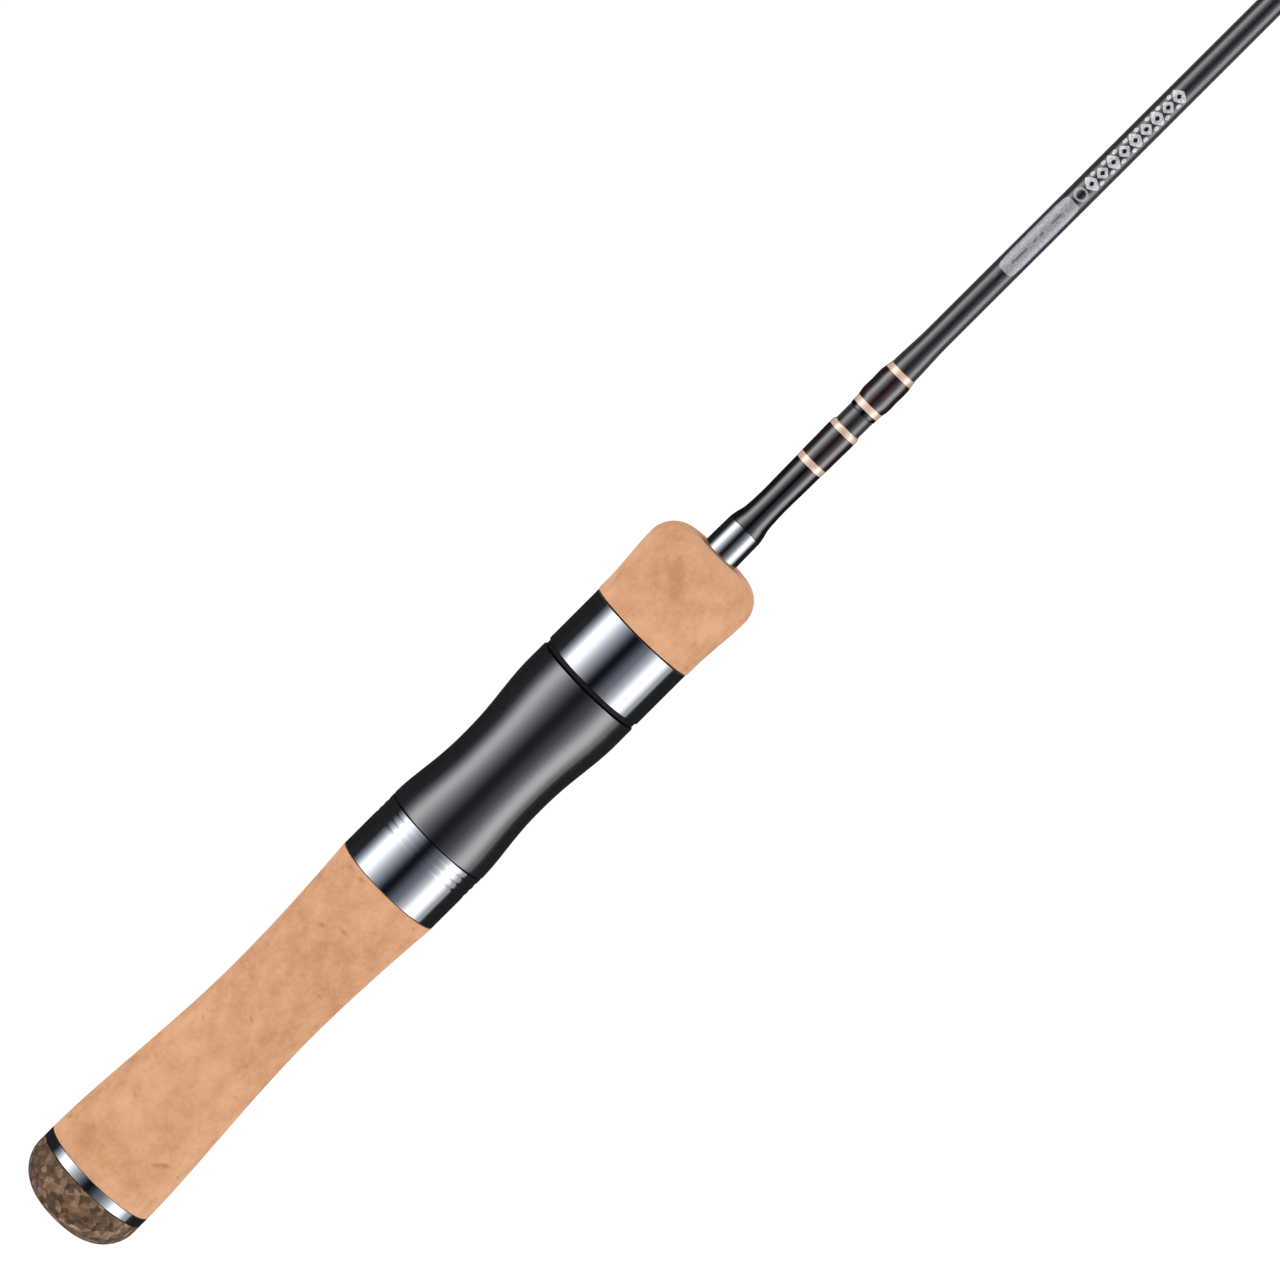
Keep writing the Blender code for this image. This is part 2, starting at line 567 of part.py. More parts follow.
def make_tip_blank():
    """A solid blank: male ferrule at the back, shoulder at the joint, then the taper to the tip."""
    male = BLANK_BORE - FERRULE_FIT
    shoulder = HANDLE_END + SEAM
    male_start = HANDLE_END - MALE_FERRULE_LENGTH
    swell_end = HANDLE_END + SWELL_LENGTH
    outline = [(male_start, 0), (male_start, male - MALE_FERRULE_LEAD_DEPTH),
               (male_start + MALE_FERRULE_LEAD, male), (shoulder, male), (shoulder, HANDLE_BLANK_RADIUS)]
    outline += [(x, blank_radius(x)) for x in stations(FRONT_WINDING_END + TRIM_LENGTH, swell_end, 4)]
    outline += [(x, blank_radius(x)) for x in stations(swell_end, TIP_BLANK_END, 9)[1:]]
    outline += [(TIP_BLANK_END, 0)]
    turned("tip_blank", outline, [], carbon, tip_body, COARSE)


def blank_chord(x):
    """Radius of the faceted tip blank, which is straight between its stations."""
    marks = stations(HANDLE_END + SWELL_LENGTH, TIP_BLANK_END, 9)
    for low, high in zip(marks, marks[1:]):
        if low <= x <= high:
            share = (x - low) / (high - low)
            return blank_radius(low) * (1 - share) + blank_radius(high) * share
    return blank_radius(x)


def leg_point(x, centre, ring_radius, side):
    """Where a leg meets the ring's holder."""
    middle = ring_radius - HOLDER_WALL / 2
    spread = math.radians(LEG_SPREAD_DEG)
    return (x, side * middle * math.sin(spread), centre + middle * math.cos(spread))


def make_guide(number, x, ring_radius, clearance, reach):
    """A single-foot guide: a holder with a ceramic ring, two legs, and a foot wound to the blank."""
    heel = x - reach
    foot_rear = heel - FOOT_LENGTH
    surface = blank_chord(foot_rear) + WINDING_FIT
    foot_low = surface + FOOT_THICKNESS
    centre = -(surface + clearance + ring_radius)
    holder_inner = ring_radius - HOLDER_WALL
    pieces = [ring_mesh(x, centre, ring_radius, holder_inner, HOLDER_WIDTH, SMALL)]
    pieces.append(box_mesh((foot_rear, -FOOT_WIDTH / 2, -foot_low),
                           (heel + FOOT_OVERLAP, FOOT_WIDTH / 2, -surface)))
    for side in (-1, 1):
        foot_point = (heel, side * LEG_SIDE, -(surface + LEG_DROP))
        pieces.append(rod_mesh(foot_point, leg_point(x, centre, ring_radius, side), LEG_RADIUS))
    joined(f"guide_frame_{number}", pieces, guide_metal, tip_body)
    outer = holder_inner - RING_FIT
    ceramic = ring_mesh(x, centre, outer, outer - CERAMIC_WALL, CERAMIC_WIDTH, SMALL, CERAMIC_CHAMFER)
    finish_object(f"guide_ring_{number}", ceramic, guide_ceramic, tip_body)
    drop = FOOT_THICKNESS / 2
    corner = max(surface + drop, math.hypot(foot_low - drop, FOOT_WIDTH / 2))
    inner = corner / math.cos(math.pi / SMALL) + WINDING_FIT
    winding_start = foot_rear - GUIDE_WINDING_OVERRUN
    winding_end = heel - GUIDE_HEEL_BARE
    winding = ring_mesh((winding_start + winding_end) / 2, -drop, inner + GUIDE_WINDING_WALL, inner,
                        winding_end - winding_start, SMALL)
    finish_object(f"guide_winding_{number}", winding, maroon_winding, tip_body)


def make_tip_top():
    """A tube over the blank's end that carries the last ring below the rod's axis."""
    bore = blank_chord(TIP_TUBE_START) + WINDING_FIT
    radius = bore + TIP_TUBE_WALL
    ring_x = ROD_LENGTH + TIP_TOP_REACH
    centre = -(radius + TIP_TOP_CLEARANCE + TIP_TOP_RING_RADIUS)
    bore_end = ROD_LENGTH - TIP_TUBE_END_WALL
    tube = bmesh.new()
    spin_profile(tube, [(TIP_TUBE_START, bore), (TIP_TUBE_START, radius), (ROD_LENGTH, radius),
                        (ROD_LENGTH, 0), (bore_end, 0), (bore_end, bore)], True, SMALL)
    bmesh.ops.remove_doubles(tube, verts=tube.verts, dist=1e-6)
    holder_inner = TIP_TOP_RING_RADIUS - HOLDER_WALL
    pieces = [tube, ring_mesh(ring_x, centre, TIP_TOP_RING_RADIUS, holder_inner, HOLDER_WIDTH, SMALL)]
    for side in (-1, 1):
        root_point = (ROD_LENGTH - TIP_LEG_SETBACK, side * (radius - LEG_SINK), -TIP_LEG_DROP)
        holder_point = leg_point(ring_x, centre, TIP_TOP_RING_RADIUS, side)
        pieces.append(rod_mesh(root_point, holder_point, LEG_RADIUS))
    joined("tip_top_frame", pieces, guide_metal, tip_body)
    outer = holder_inner - RING_FIT
    ceramic = ring_mesh(ring_x, centre, outer, outer - TIP_TOP_CERAMIC_WALL, CERAMIC_WIDTH, SMALL,
                        CERAMIC_CHAMFER)
    finish_object("tip_top_ring", ceramic, guide_ceramic, tip_body)
    winding_end = TIP_TUBE_START - SEAM
    winding_start = winding_end - TIP_WINDING_LENGTH
    sleeve("tip_winding", winding_start, winding_end, radius, blank_chord(winding_start) + WINDING_FIT,
           maroon_winding, tip_body, SMALL)


make_grips()
make_fixed_hood()
make_seat_body()
make_moving_hood()
make_locking_knob()
make_handle_blank()
make_ferrule_windings()
make_tip_blank()
guide_x = ROD_LENGTH
for index, spacing in enumerate(GUIDE_SPACINGS):
    guide_x -= spacing
    make_guide(len(GUIDE_SPACINGS) - index, guide_x, GUIDE_RING_RADII[index], GUIDE_CLEARANCE[index],
               GUIDE_REACH[index])
make_tip_top()
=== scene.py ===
# %% [markdown]
# # Ice fishing rod: the finished surfaces
#
# A short spinning rod for fishing through the ice. Its handle is turned cork with bright metal rings and a
# gloss black reel seat, and its tip section is a slim graphite blank with ring guides. The engineering
# model is already exact in size, so this lesson only replaces each plain solid with the surface a maker
# would see. We start by loading that model, because every position below is read from it.

# %% Load the frame
import math

import bmesh
import bpy
import numpy as np
from mathutils import Matrix, Vector


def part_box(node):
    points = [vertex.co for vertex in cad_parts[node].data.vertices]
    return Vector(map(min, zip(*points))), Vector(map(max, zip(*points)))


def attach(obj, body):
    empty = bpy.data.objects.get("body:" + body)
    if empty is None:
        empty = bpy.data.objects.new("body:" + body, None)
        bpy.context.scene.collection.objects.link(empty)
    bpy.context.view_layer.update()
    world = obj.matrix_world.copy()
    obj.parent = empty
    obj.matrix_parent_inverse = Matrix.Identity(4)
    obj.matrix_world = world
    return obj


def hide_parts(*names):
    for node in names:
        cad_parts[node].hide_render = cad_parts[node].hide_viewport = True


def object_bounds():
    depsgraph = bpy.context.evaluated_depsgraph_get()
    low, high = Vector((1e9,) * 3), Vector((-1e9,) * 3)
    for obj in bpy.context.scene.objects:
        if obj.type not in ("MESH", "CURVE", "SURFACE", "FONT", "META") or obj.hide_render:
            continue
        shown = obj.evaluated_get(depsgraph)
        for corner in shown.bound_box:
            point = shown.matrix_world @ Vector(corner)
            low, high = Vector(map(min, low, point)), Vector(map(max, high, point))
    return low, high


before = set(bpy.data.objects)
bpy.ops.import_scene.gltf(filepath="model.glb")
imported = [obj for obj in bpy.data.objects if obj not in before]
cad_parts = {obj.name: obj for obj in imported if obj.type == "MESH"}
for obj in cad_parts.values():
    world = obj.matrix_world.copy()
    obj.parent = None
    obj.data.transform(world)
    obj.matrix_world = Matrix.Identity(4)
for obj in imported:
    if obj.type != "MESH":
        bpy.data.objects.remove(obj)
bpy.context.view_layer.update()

MM = 0.001

for leftover in ("Cube", "Light", "Camera"):
    if leftover in bpy.data.objects:
        bpy.data.objects.remove(bpy.data.objects[leftover], do_unlink=True)

print("nodes in the frame:", len(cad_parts))

# %% [markdown]
# ## Reading sizes from the frame
#
# The rod lies along X, so a node's span along the rod and its radius say nearly everything about it. Both
# could be typed in again, but then a change in the model would leave this script behind, so they are
# measured on the node itself. `stations` goes one step further: it lists the outline that the node was
# turned to.

# %% Spans, radii and outlines
def span(name):
    """Start and end of a node along the rod, in millimetres."""
    low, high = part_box(name)
    return low[0] / MM, high[0] / MM


def radius(name):
    """Outer radius of a round node, in millimetres: half its width across the rod."""
    low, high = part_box(name)
    return (high[1] - low[1]) / 2 / MM


def stations(name):
    """Outline of a turned node: the places along the rod where it has points, and its radius there."""
    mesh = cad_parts[name].data
    places = np.empty(len(mesh.vertices) * 3)
    mesh.vertices.foreach_get("co", places)
    places = places.reshape(-1, 3) / MM
    along = np.round(places[:, 0], 2)
    out = np.hypot(places[:, 1], places[:, 2])
    xs = np.unique(along)
    return xs, np.array([out[along == x].max() for x in xs])


cap_end = span("butt_cap")[1]
seat_start, seat_end = span("reel_seat_body")
hood_end = span("rear_hood")[1]
slider_start, slider_end = span("moving_hood")
knob_end = span("fore_grip")[1]
tip_start, tip_end = span("tip_blank")
handle_end = span("handle_blank")[1]
print(f"handle ends at {knob_end:.1f} mm, blank ends at {tip_end:.1f} mm")

# %% [markdown]
# ## The camera
#
# The rod is seen from straight above with a long lens, and lies on the diagonal of a square picture. The
# camera stands a metre and a half away and leans six degrees towards the butt, so that round edges show as
# shallow arcs. It comes first, because it decides how fine each surface has to be.

# %% Place the camera
def look_at_rod(target, distance, lean_deg, turn_deg, lens):
    """Camera above the rod: lean_deg tips it towards the butt, turn_deg is the rod's slope in the view."""
    lean = math.radians(lean_deg)
    turn = math.radians(turn_deg)
    back = Vector((math.sin(lean), 0.0, math.cos(lean)))
    along = Vector((math.cos(lean), 0.0, -math.sin(lean)))
    across = Vector((0.0, 1.0, 0.0))
    right = math.cos(turn) * along - math.sin(turn) * across
    up = math.sin(turn) * along + math.cos(turn) * across
    data = bpy.data.cameras.new("camera")
    data.lens = lens
    data.sensor_width = 36.0
    data.clip_end = 100.0
    camera = bpy.data.objects.new("camera", data)
    turned_view = Matrix((right, up, back)).transposed().to_4x4()
    camera.matrix_world = Matrix.Translation(target + back * distance) @ turned_view
    bpy.context.scene.collection.objects.link(camera)
    bpy.context.scene.camera = camera
    return camera


CAMERA_DISTANCE = 1.48
PICTURE_CENTRE = Vector((0.1617, -0.00077, 0.0))
LEAN_DEG = 6.3
SLOPE_DEG = 44.92
LENS_MM = 214.4
camera = look_at_rod(PICTURE_CENTRE, CAMERA_DISTANCE, LEAN_DEG, SLOPE_DEG, LENS_MM)
print("camera at", [round(v, 3) for v in camera.matrix_world.translation])

# %% [markdown]
# ## The studio
#
# Bright metal and gloss black show nothing but the room around them, so the light is planned as what they
# reflect: two long softboxes, one on each side, with darkness between them where the camera is. Flat lamps
# would give hard-edged stripes. A curved scrim whose glow fades at its edges, as cloth over a softbox does,
# gives the soft ones. Only reflections see it. The even light on the cork comes from a white room, and the
# rod lies on a lit acrylic table, which keeps the floor pale and nearly free of shadow.

# %% Colours and shader nodes
def srgb(code):
    """Linear colour with alpha from an sRGB hex code."""
    parts = [int(code[i:i + 2], 16) / 255 for i in (1, 3, 5)]
    return tuple(c / 12.92 if c <= 0.04045 else ((c + 0.055) / 1.055) ** 2.4 for c in parts) + (1.0,)


def connect(tree, node, inputs):
    """Fill inputs of a node, each with a constant or from a socket."""
    for key, value in inputs.items():
        if isinstance(value, bpy.types.NodeSocket):
            tree.links.new(value, node.inputs[key])
        else:
            node.inputs[key].default_value = value


def add(tree, kind, inputs=None, **settings):
    """Add a node with its settings and its inputs."""
    made = tree.nodes.new(kind)
    for key, value in settings.items():
        setattr(made, key, value)
    connect(tree, made, inputs or {})
    return made


def noise(tree, vector, size, detail=2.0, roughness=0.5):
    """Cloudy noise from 0 to 1, its largest spots about size millimetres across."""
    inputs = {"Vector": vector, "Scale": 1 / size, "Detail": detail, "Roughness": roughness}
    return add(tree, "ShaderNodeTexNoise", inputs).outputs["Fac"]


def blend(tree, factor, first, second, data_type="FLOAT"):
    """A mix of two values, vectors or colours."""
    inputs = {"Factor": factor, "A": first, "B": second}
    return add(tree, "ShaderNodeMix", inputs, data_type=data_type).outputs["Result"]


def tones(tree, value, stops):
    """The colour that a value from 0 to 1 takes on a ramp of (place, hex code) stops."""
    ramp = add(tree, "ShaderNodeValToRGB", {"Fac": value})
    elements = ramp.color_ramp.elements
    while len(elements) < len(stops):
        elements.new(0.5)
    for element, (place, code) in zip(elements, stops):
        element.position = place
        element.color = srgb(code)
    return ramp.outputs["Color"]


def within(tree, value, low, high):
    """A value from 0 to 1, spread over a range."""
    return add(tree, "ShaderNodeMapRange", {"Value": value, "To Min": low, "To Max": high}).outputs[0]


def bump(tree, height, strength, distance, **settings):
    """A normal that is tilted by a height, which distance gives in metres."""
    inputs = {"Height": height, "Strength": strength, "Distance": distance}
    return add(tree, "ShaderNodeBump", inputs, **settings).outputs["Normal"]


# %% Materials and meshes
def new_material(name):
    """A material with its node tree, its Principled shader, and object coordinates in millimetres."""
    material = bpy.data.materials.new(name)
    material.use_nodes = True
    tree = material.node_tree
    shader = tree.nodes["Principled BSDF"]
    place = add(tree, "ShaderNodeTexCoord")
    in_mm = add(tree, "ShaderNodeMapping", {"Vector": place.outputs["Object"], "Scale": (1000, 1000, 1000)})
    return material, tree, shader, in_mm.outputs["Vector"]


def mesh_object(name, points, faces, material):
    """A smooth-shaded mesh object from an array of points in metres and an array of quads."""
    mesh = bpy.data.meshes.new(name)
    mesh.from_pydata(points.tolist(), [], faces.tolist())
    mesh.materials.append(material)
    mesh.shade_smooth()
    obj = bpy.data.objects.new(name, mesh)
    bpy.context.scene.collection.objects.link(obj)
    return obj


def quads(rows, columns, wrap_rows=False, wrap_columns=False):
    """Faces of a grid of points, row by row. A wrapped direction joins its last line to its first."""
    index = np.arange(rows * columns).reshape(rows, columns)
    if wrap_rows:
        index = np.vstack([index, index[:1]])
    if wrap_columns:
        index = np.hstack([index, index[:, :1]])
    corners = (index[:-1, :-1], index[1:, :-1], index[1:, 1:], index[:-1, 1:])
    return np.stack(corners, axis=-1).reshape(-1, 4)


# %% The room, the table and the scrim
bpy.context.scene.view_settings.view_transform = "Standard"

FLOOR_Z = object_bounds()[0][2] - 0.0002
ROOM_GLOW = 0.93
TABLE_GLOW = 0.85
CARD_GLOW = 0.4
BLACK = (0.0, 0.0, 0.0, 1.0)
WHITE = (1.0, 1.0, 1.0, 1.0)
STUDIO_START, STUDIO_END = -1.2, 1.9     # scrim and card along the rod, in metres
CARD_NEAR, CARD_FAR = -0.13, -3.0        # the card across the rod
TENT_RADIUS = 3.5
SCRIM_RADIUS = 1.0


def only_in_reflections(obj):
    """Hide a studio piece from everything but reflections."""
    obj.visible_camera = False
    obj.visible_diffuse = False
    obj.visible_transmission = False
    obj.visible_volume_scatter = False
    obj.visible_shadow = False


def flat_sheet(name, low, high, z, material):
    """A level rectangle between two corners (x, y), in metres."""
    corners = np.array([low, (high[0], low[1]), high, (low[0], high[1])], dtype=float)
    points = np.column_stack([corners, np.full(4, z)])
    sheet = mesh_object(name, points, np.array([[0, 1, 2, 3]]), material)
    return sheet


def make_table():
    material, tree, shader, _ = new_material("lit_acrylic")
    connect(tree, shader, {"Base Color": srgb("#8C8C8C"), "Roughness": 0.9, "Specular IOR Level": 0.0,
                           "Emission Color": WHITE, "Emission Strength": TABLE_GLOW})
    flat_sheet("table", (-12, -12), (12, 12), FLOOR_Z, material)


def make_black_cloth():
    """Black cloth on the table and all round, with a strip of grey card on the -Y side."""
    material, tree, shader, _ = new_material("black_cloth")
    connect(tree, shader, {"Base Color": BLACK, "Specular IOR Level": 0.0,
                           "Emission Color": (0.9, 0.92, 1.0, 1.0), "Emission Strength": 0.025})
    only_in_reflections(flat_sheet("black_cloth_under", (-4, -4), (4, 4), FLOOR_Z + 0.0001, material))
    grey, tree, shader, _ = new_material("grey_card")
    connect(tree, shader, {"Base Color": BLACK, "Emission Color": WHITE, "Emission Strength": CARD_GLOW})
    only_in_reflections(flat_sheet("grey_card", (STUDIO_START, CARD_FAR), (STUDIO_END, CARD_NEAR),
                                   FLOOR_Z + 0.0002, grey))
    around = np.linspace(0, math.tau, 48, endpoint=False)
    height = np.linspace(-math.pi / 2, math.pi / 2, 25)
    a, h = np.meshgrid(around, height)
    points = TENT_RADIUS * np.stack([np.cos(h) * np.cos(a), np.cos(h) * np.sin(a), np.sin(h)], axis=-1)
    tent = mesh_object("black_cloth_tent", points.reshape(-1, 3), quads(25, 48, False, True), material)
    only_in_reflections(tent)


# Glow of the scrim by angle from straight up, in degrees; positive angles are on the +Y side. Each softbox
# is a hill with its top near 60 degrees, and the weak shelves inside them are light spilled on the ceiling.
SCRIM_ANGLES = (-100, -92, -86, -77, -68, -60, -52, -47, -42, -32, -23, -14, -5, 0, 5, 14, 23, 32, 42, 52, 60,
                68, 74, 80, 86, 92, 100)
SCRIM_GLOWS = (0.24, 0.3, 0.5, 0.86, 0.92, 0.76, 0.43, 0.3, 0.23, 0.115, 0.085, 0.03, 0.003, 0.003, 0.012,
               0.09, 0.19, 0.31, 0.55, 0.84, 0.9, 0.66, 0.36, 0.19, 0.09, 0.04, 0.02)
SCRIM_STRENGTH = 3.5


def make_scrim():
    """Half a tube of cloth over the rod: (along, R sin a, R cos a), with the glow read off by the angle a."""
    material, tree, shader, _ = new_material("softbox_scrim")
    glow = add(tree, "ShaderNodeAttribute", attribute_name="glow").outputs["Fac"]
    tint = add(tree, "ShaderNodeMapRange", {"Value": glow, "From Max": 0.25}).outputs[0]
    colour = blend(tree, tint, (0.7, 0.76, 1.0, 1.0), (0.96, 0.98, 1.0, 1.0), "RGBA")
    strength = add(tree, "ShaderNodeMath", {0: glow, 1: SCRIM_STRENGTH}, operation="MULTIPLY")
    emission = add(tree, "ShaderNodeEmission", {"Color": colour, "Strength": strength.outputs[0]})
    tree.links.new(emission.outputs[0], tree.nodes["Material Output"].inputs["Surface"])
    angles = np.linspace(-100, 100, 201)
    along = np.linspace(STUDIO_START, STUDIO_END, 9)
    a, x = np.meshgrid(np.radians(angles), along)
    points = np.stack([x, SCRIM_RADIUS * np.sin(a), SCRIM_RADIUS * np.cos(a)], axis=-1).reshape(-1, 3)
    scrim = mesh_object("softbox_scrim", points, quads(9, 201), material)
    values = np.tile(np.interp(angles, SCRIM_ANGLES, SCRIM_GLOWS), 9)
    scrim.data.attributes.new("glow", "FLOAT", "POINT").data.foreach_set("value", values)
    only_in_reflections(scrim)


def make_room():
    world = bpy.data.worlds.new("white_room")
    world.use_nodes = True
    background = world.node_tree.nodes["Background"]
    background.inputs["Color"].default_value = WHITE
    background.inputs["Strength"].default_value = ROOM_GLOW
    bpy.context.scene.world = world


def make_top_softbox():
    """A weak softbox overhead, which shapes the cork and isn't reflected."""
    lamp = bpy.data.lights.new("top_softbox", "AREA")
    lamp.shape = "RECTANGLE"
    lamp.size = 1.2
    lamp.size_y = 0.9
    lamp.energy = 1.0
    softbox = bpy.data.objects.new("top_softbox", lamp)
    softbox.location = (0.2, 0.25, 1.2)
    softbox.rotation_euler = (math.radians(-12), 0, 0)
    softbox.visible_glossy = False
    bpy.context.scene.collection.objects.link(softbox)


make_room()
make_table()
make_black_cloth()
make_scrim()
make_top_softbox()
print("floor at", round(FLOOR_Z / MM, 1), "mm")

# %% [markdown]
# ## How every round piece is made
#
# Nearly everything on a rod is turned: an outline carried round the axis. Spinning a curve would do it, but
# a grid of points worked out at once lets us press pits, threads and flats into the surface before it
# becomes a mesh. So a piece is a list of shells, each an array of points with two directions, and one
# function turns the shells into a finished object that rides on its body.

# %% Outlines and turned shells
def rounded(corners, step=0.0, closed=True, arc_points=5):
    """An outline from (x, radius, fillet) corners, each fillet an arc tangent to both sides.

    The arc is a quadratic through the corner, which is close to round on small fillets. Straight stretches
    longer than step are divided, if a step is given.
    """
    corners = np.array(corners, dtype=float)
    count = len(corners)
    pieces = []
    for i, (x, r, fillet) in enumerate(corners):
        here = np.array([x, r])
        if fillet == 0 or (not closed and i in (0, count - 1)):
            pieces.append(here[None])
            continue
        before = corners[i - 1, :2] - here
        after = corners[(i + 1) % count, :2] - here
        enter = here + before / np.linalg.norm(before) * fillet
        leave = here + after / np.linalg.norm(after) * fillet
        t = np.linspace(0, 1, arc_points)[:, None]
        pieces.append((1 - t) ** 2 * enter + 2 * t * (1 - t) * here + t ** 2 * leave)
    outline = np.vstack(pieces)
    if step:
        outline = divided(outline, step, closed)
    return outline


def divided(outline, step, closed):
    """The same outline with its long stretches divided into equal parts of about the step."""
    ends = np.vstack([outline[1:], outline[:1]]) if closed else outline[1:]
    parts = []
    for start, end in zip(outline, ends):
        count = max(1, int(np.linalg.norm(end - start) / step))
        share = np.arange(count)[:, None] / count
        parts.append(start + (end - start) * share)
    if not closed:
        parts.append(outline[-1:])
    return np.vstack(parts)


def round_angles(count):
    """Equal steps of angle round the rod."""
    return np.arange(count) / count * math.tau


def turned(outline, segments=128, closed=True, relief=None, centre=(0.0, 0.0)):
    """Shell of an outline carried round the rod: (x, -r sin a, r cos a), with relief added to the radius."""
    a = round_angles(segments)
    x = np.repeat(outline[:, :1], segments, axis=1)
    r = np.repeat(outline[:, 1:], segments, axis=1)
    if relief is not None:
        r = r + relief
    points = np.stack([x, centre[0] - r * np.sin(a), centre[1] + r * np.cos(a)], axis=-1)
    return points, closed, True


def smooth_through(xs, rs, x):
    """A curve through the points (xs, rs), read at x: cubic pieces whose slopes are central differences."""
    slope = np.gradient(rs, xs)
    k = np.clip(np.searchsorted(xs, x) - 1, 0, len(xs) - 2)
    width = xs[k + 1] - xs[k]
    t = (x - xs[k]) / width
    rise = rs[k] * (2 * t ** 3 - 3 * t ** 2 + 1) + rs[k + 1] * (3 * t ** 2 - 2 * t ** 3)
    return rise + width * (slope[k] * (t ** 3 - 2 * t ** 2 + t) + slope[k + 1] * (t ** 3 - t ** 2))


def finished(name, shells, material, body, stands_for=(), sharp_deg=40, attribute=None):
    """One object from shells, with seams and poles closed and faces outwards, riding on its body."""
    points, faces, start = [], [], 0
    for grid, wrap_rows, wrap_columns in shells:
        rows, columns = grid.shape[:2]
        points.append(grid.reshape(-1, 3) * MM)
        faces.append(quads(rows, columns, wrap_rows, wrap_columns) + start)
        start += rows * columns
    obj = mesh_object(name, np.vstack(points), np.vstack(faces), material)
    if attribute:
        label, values = attribute
        obj.data.attributes.new(label, "FLOAT", "POINT").data.foreach_set("value", values.ravel())
    bm = bmesh.new()
    bm.from_mesh(obj.data)
    bmesh.ops.remove_doubles(bm, verts=bm.verts, dist=2e-7)
    bmesh.ops.recalc_face_normals(bm, faces=bm.faces)
    bm.to_mesh(obj.data)
    bm.free()
    obj.data.shade_smooth()
    obj.data.set_sharp_from_angle(angle=math.radians(sharp_deg))
    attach(obj, body)
    if stands_for:
        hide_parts(*stands_for)
    print(f"{name}: {len(obj.data.polygons)} faces")
    return obj


# %% [markdown]
# ## Cork
#
# Rod cork is bark, cut to rings, glued and turned. Its colour wanders between honey and tan over a few
# millimetres, and small pores, the lenticels, leave brown pits. A bump map could fake the pits, but they
# show on the outline too, so they are pressed into the surface, and the same values darken them in the
# material.

# %% The cork finish
def make_cork():
    material, tree, shader, in_mm = new_material("natural_cork")
    drift = noise(tree, in_mm, 14.0, 3.0, 0.55)
    blotch = noise(tree, in_mm, 4.0, 4.0)
    grain = noise(tree, in_mm, 0.9, 4.0, 0.6)
    mixed = blend(tree, 0.22, blend(tree, 0.5, drift, blotch), grain)
    tone = tones(tree, mixed, [(0.38, "#C58E64"), (0.46, "#D49A70"), (0.53, "#DBA47A"), (0.62, "#E3AE86")])
    pit = add(tree, "ShaderNodeAttribute", attribute_name="pit").outputs["Fac"]
    connect(tree, shader, {"Base Color": blend(tree, pit, tone, srgb("#A26F48"), "RGBA"),
                           "Normal": bump(tree, grain, 0.2, 0.0001),
                           "Roughness": 0.78, "Specular IOR Level": 0.3})
    return material


def pores(outline, outside, segments, count, seed):
    """Relief and darkness of the pores, on the outer rows of an outline.

    Each pore is a dent of depth d exp(-(u/l)^2 - (v/w)^2), u and v being measured along and across it.
    """
    rng = np.random.default_rng(seed)
    a = round_angles(segments)
    relief = np.zeros((len(outline), segments))
    rows = np.flatnonzero(outside)
    low, high = outline[rows, 0].min() + 1.0, outline[rows, 0].max() - 1.0
    for _ in range(count):
        x0 = rng.uniform(low, high)
        a0 = rng.uniform(0, math.tau)
        size = rng.uniform(0, 1) ** 3
        length = 0.3 + 0.9 * size
        width = 0.16 + 0.34 * size
        depth = rng.uniform(0.05, 0.12) + 0.12 * size
        lean = rng.uniform(-0.5, 0.5) + math.pi / 2
        near = rows[np.abs(outline[rows, 0] - x0) < 3.5]
        x = outline[near, 0][:, None] - x0
        y = ((a - a0 + math.pi) % math.tau - math.pi)[None] * outline[near, 1][:, None]
        u = x * math.cos(lean) + y * math.sin(lean)
        v = y * math.cos(lean) - x * math.sin(lean)
        relief[near] -= depth * np.exp(-(u / length) ** 2 - (v / width) ** 2)
    darkness = np.clip(-relief / 0.3, 0, 0.8)
    return relief, darkness


cork = make_cork()


# %% [markdown]
# The rear grip is waisted so that the palm finds its place, and the fore grip is a knob with a rounded
# front. Their outlines come from the frame's stations, joined by a smooth curve, and the edges that meet
# the rings keep a crisp corner, as sanded cork does against metal.

# %% The two grips
CORK_SEGMENTS = 224
FRONT_ROUNDING = 6.0
FRONT_WALL = 2.3        # cork in front of the locking nut
BORE_ROUNDING = 1.2
CHECK_CLEARANCE = 0.35
NUT_OVERLAP = 0.6       # by which the cork's bore is smaller than the nut's flange
TUBE_CLEARANCE = 0.3


def make_rear_grip():
    xs, rs = stations("rear_grip")
    start, end = xs[0], xs[-1]
    x = np.linspace(start, end, 330)
    outer = np.column_stack([x, smooth_through(xs, rs, x)])
    bore = radius("handle_blank") + TUBE_CLEARANCE
    outline = np.vstack([outer, [(end, bore), (start, bore)]])
    outside = np.arange(len(outline)) < len(outer)
    relief, darkness = pores(outline, outside, CORK_SEGMENTS, 90, 7)
    finished("rear_grip_cork", [turned(outline, CORK_SEGMENTS, relief=relief)], cork, "handle",
             ["rear_grip"], attribute=("pit", darkness))


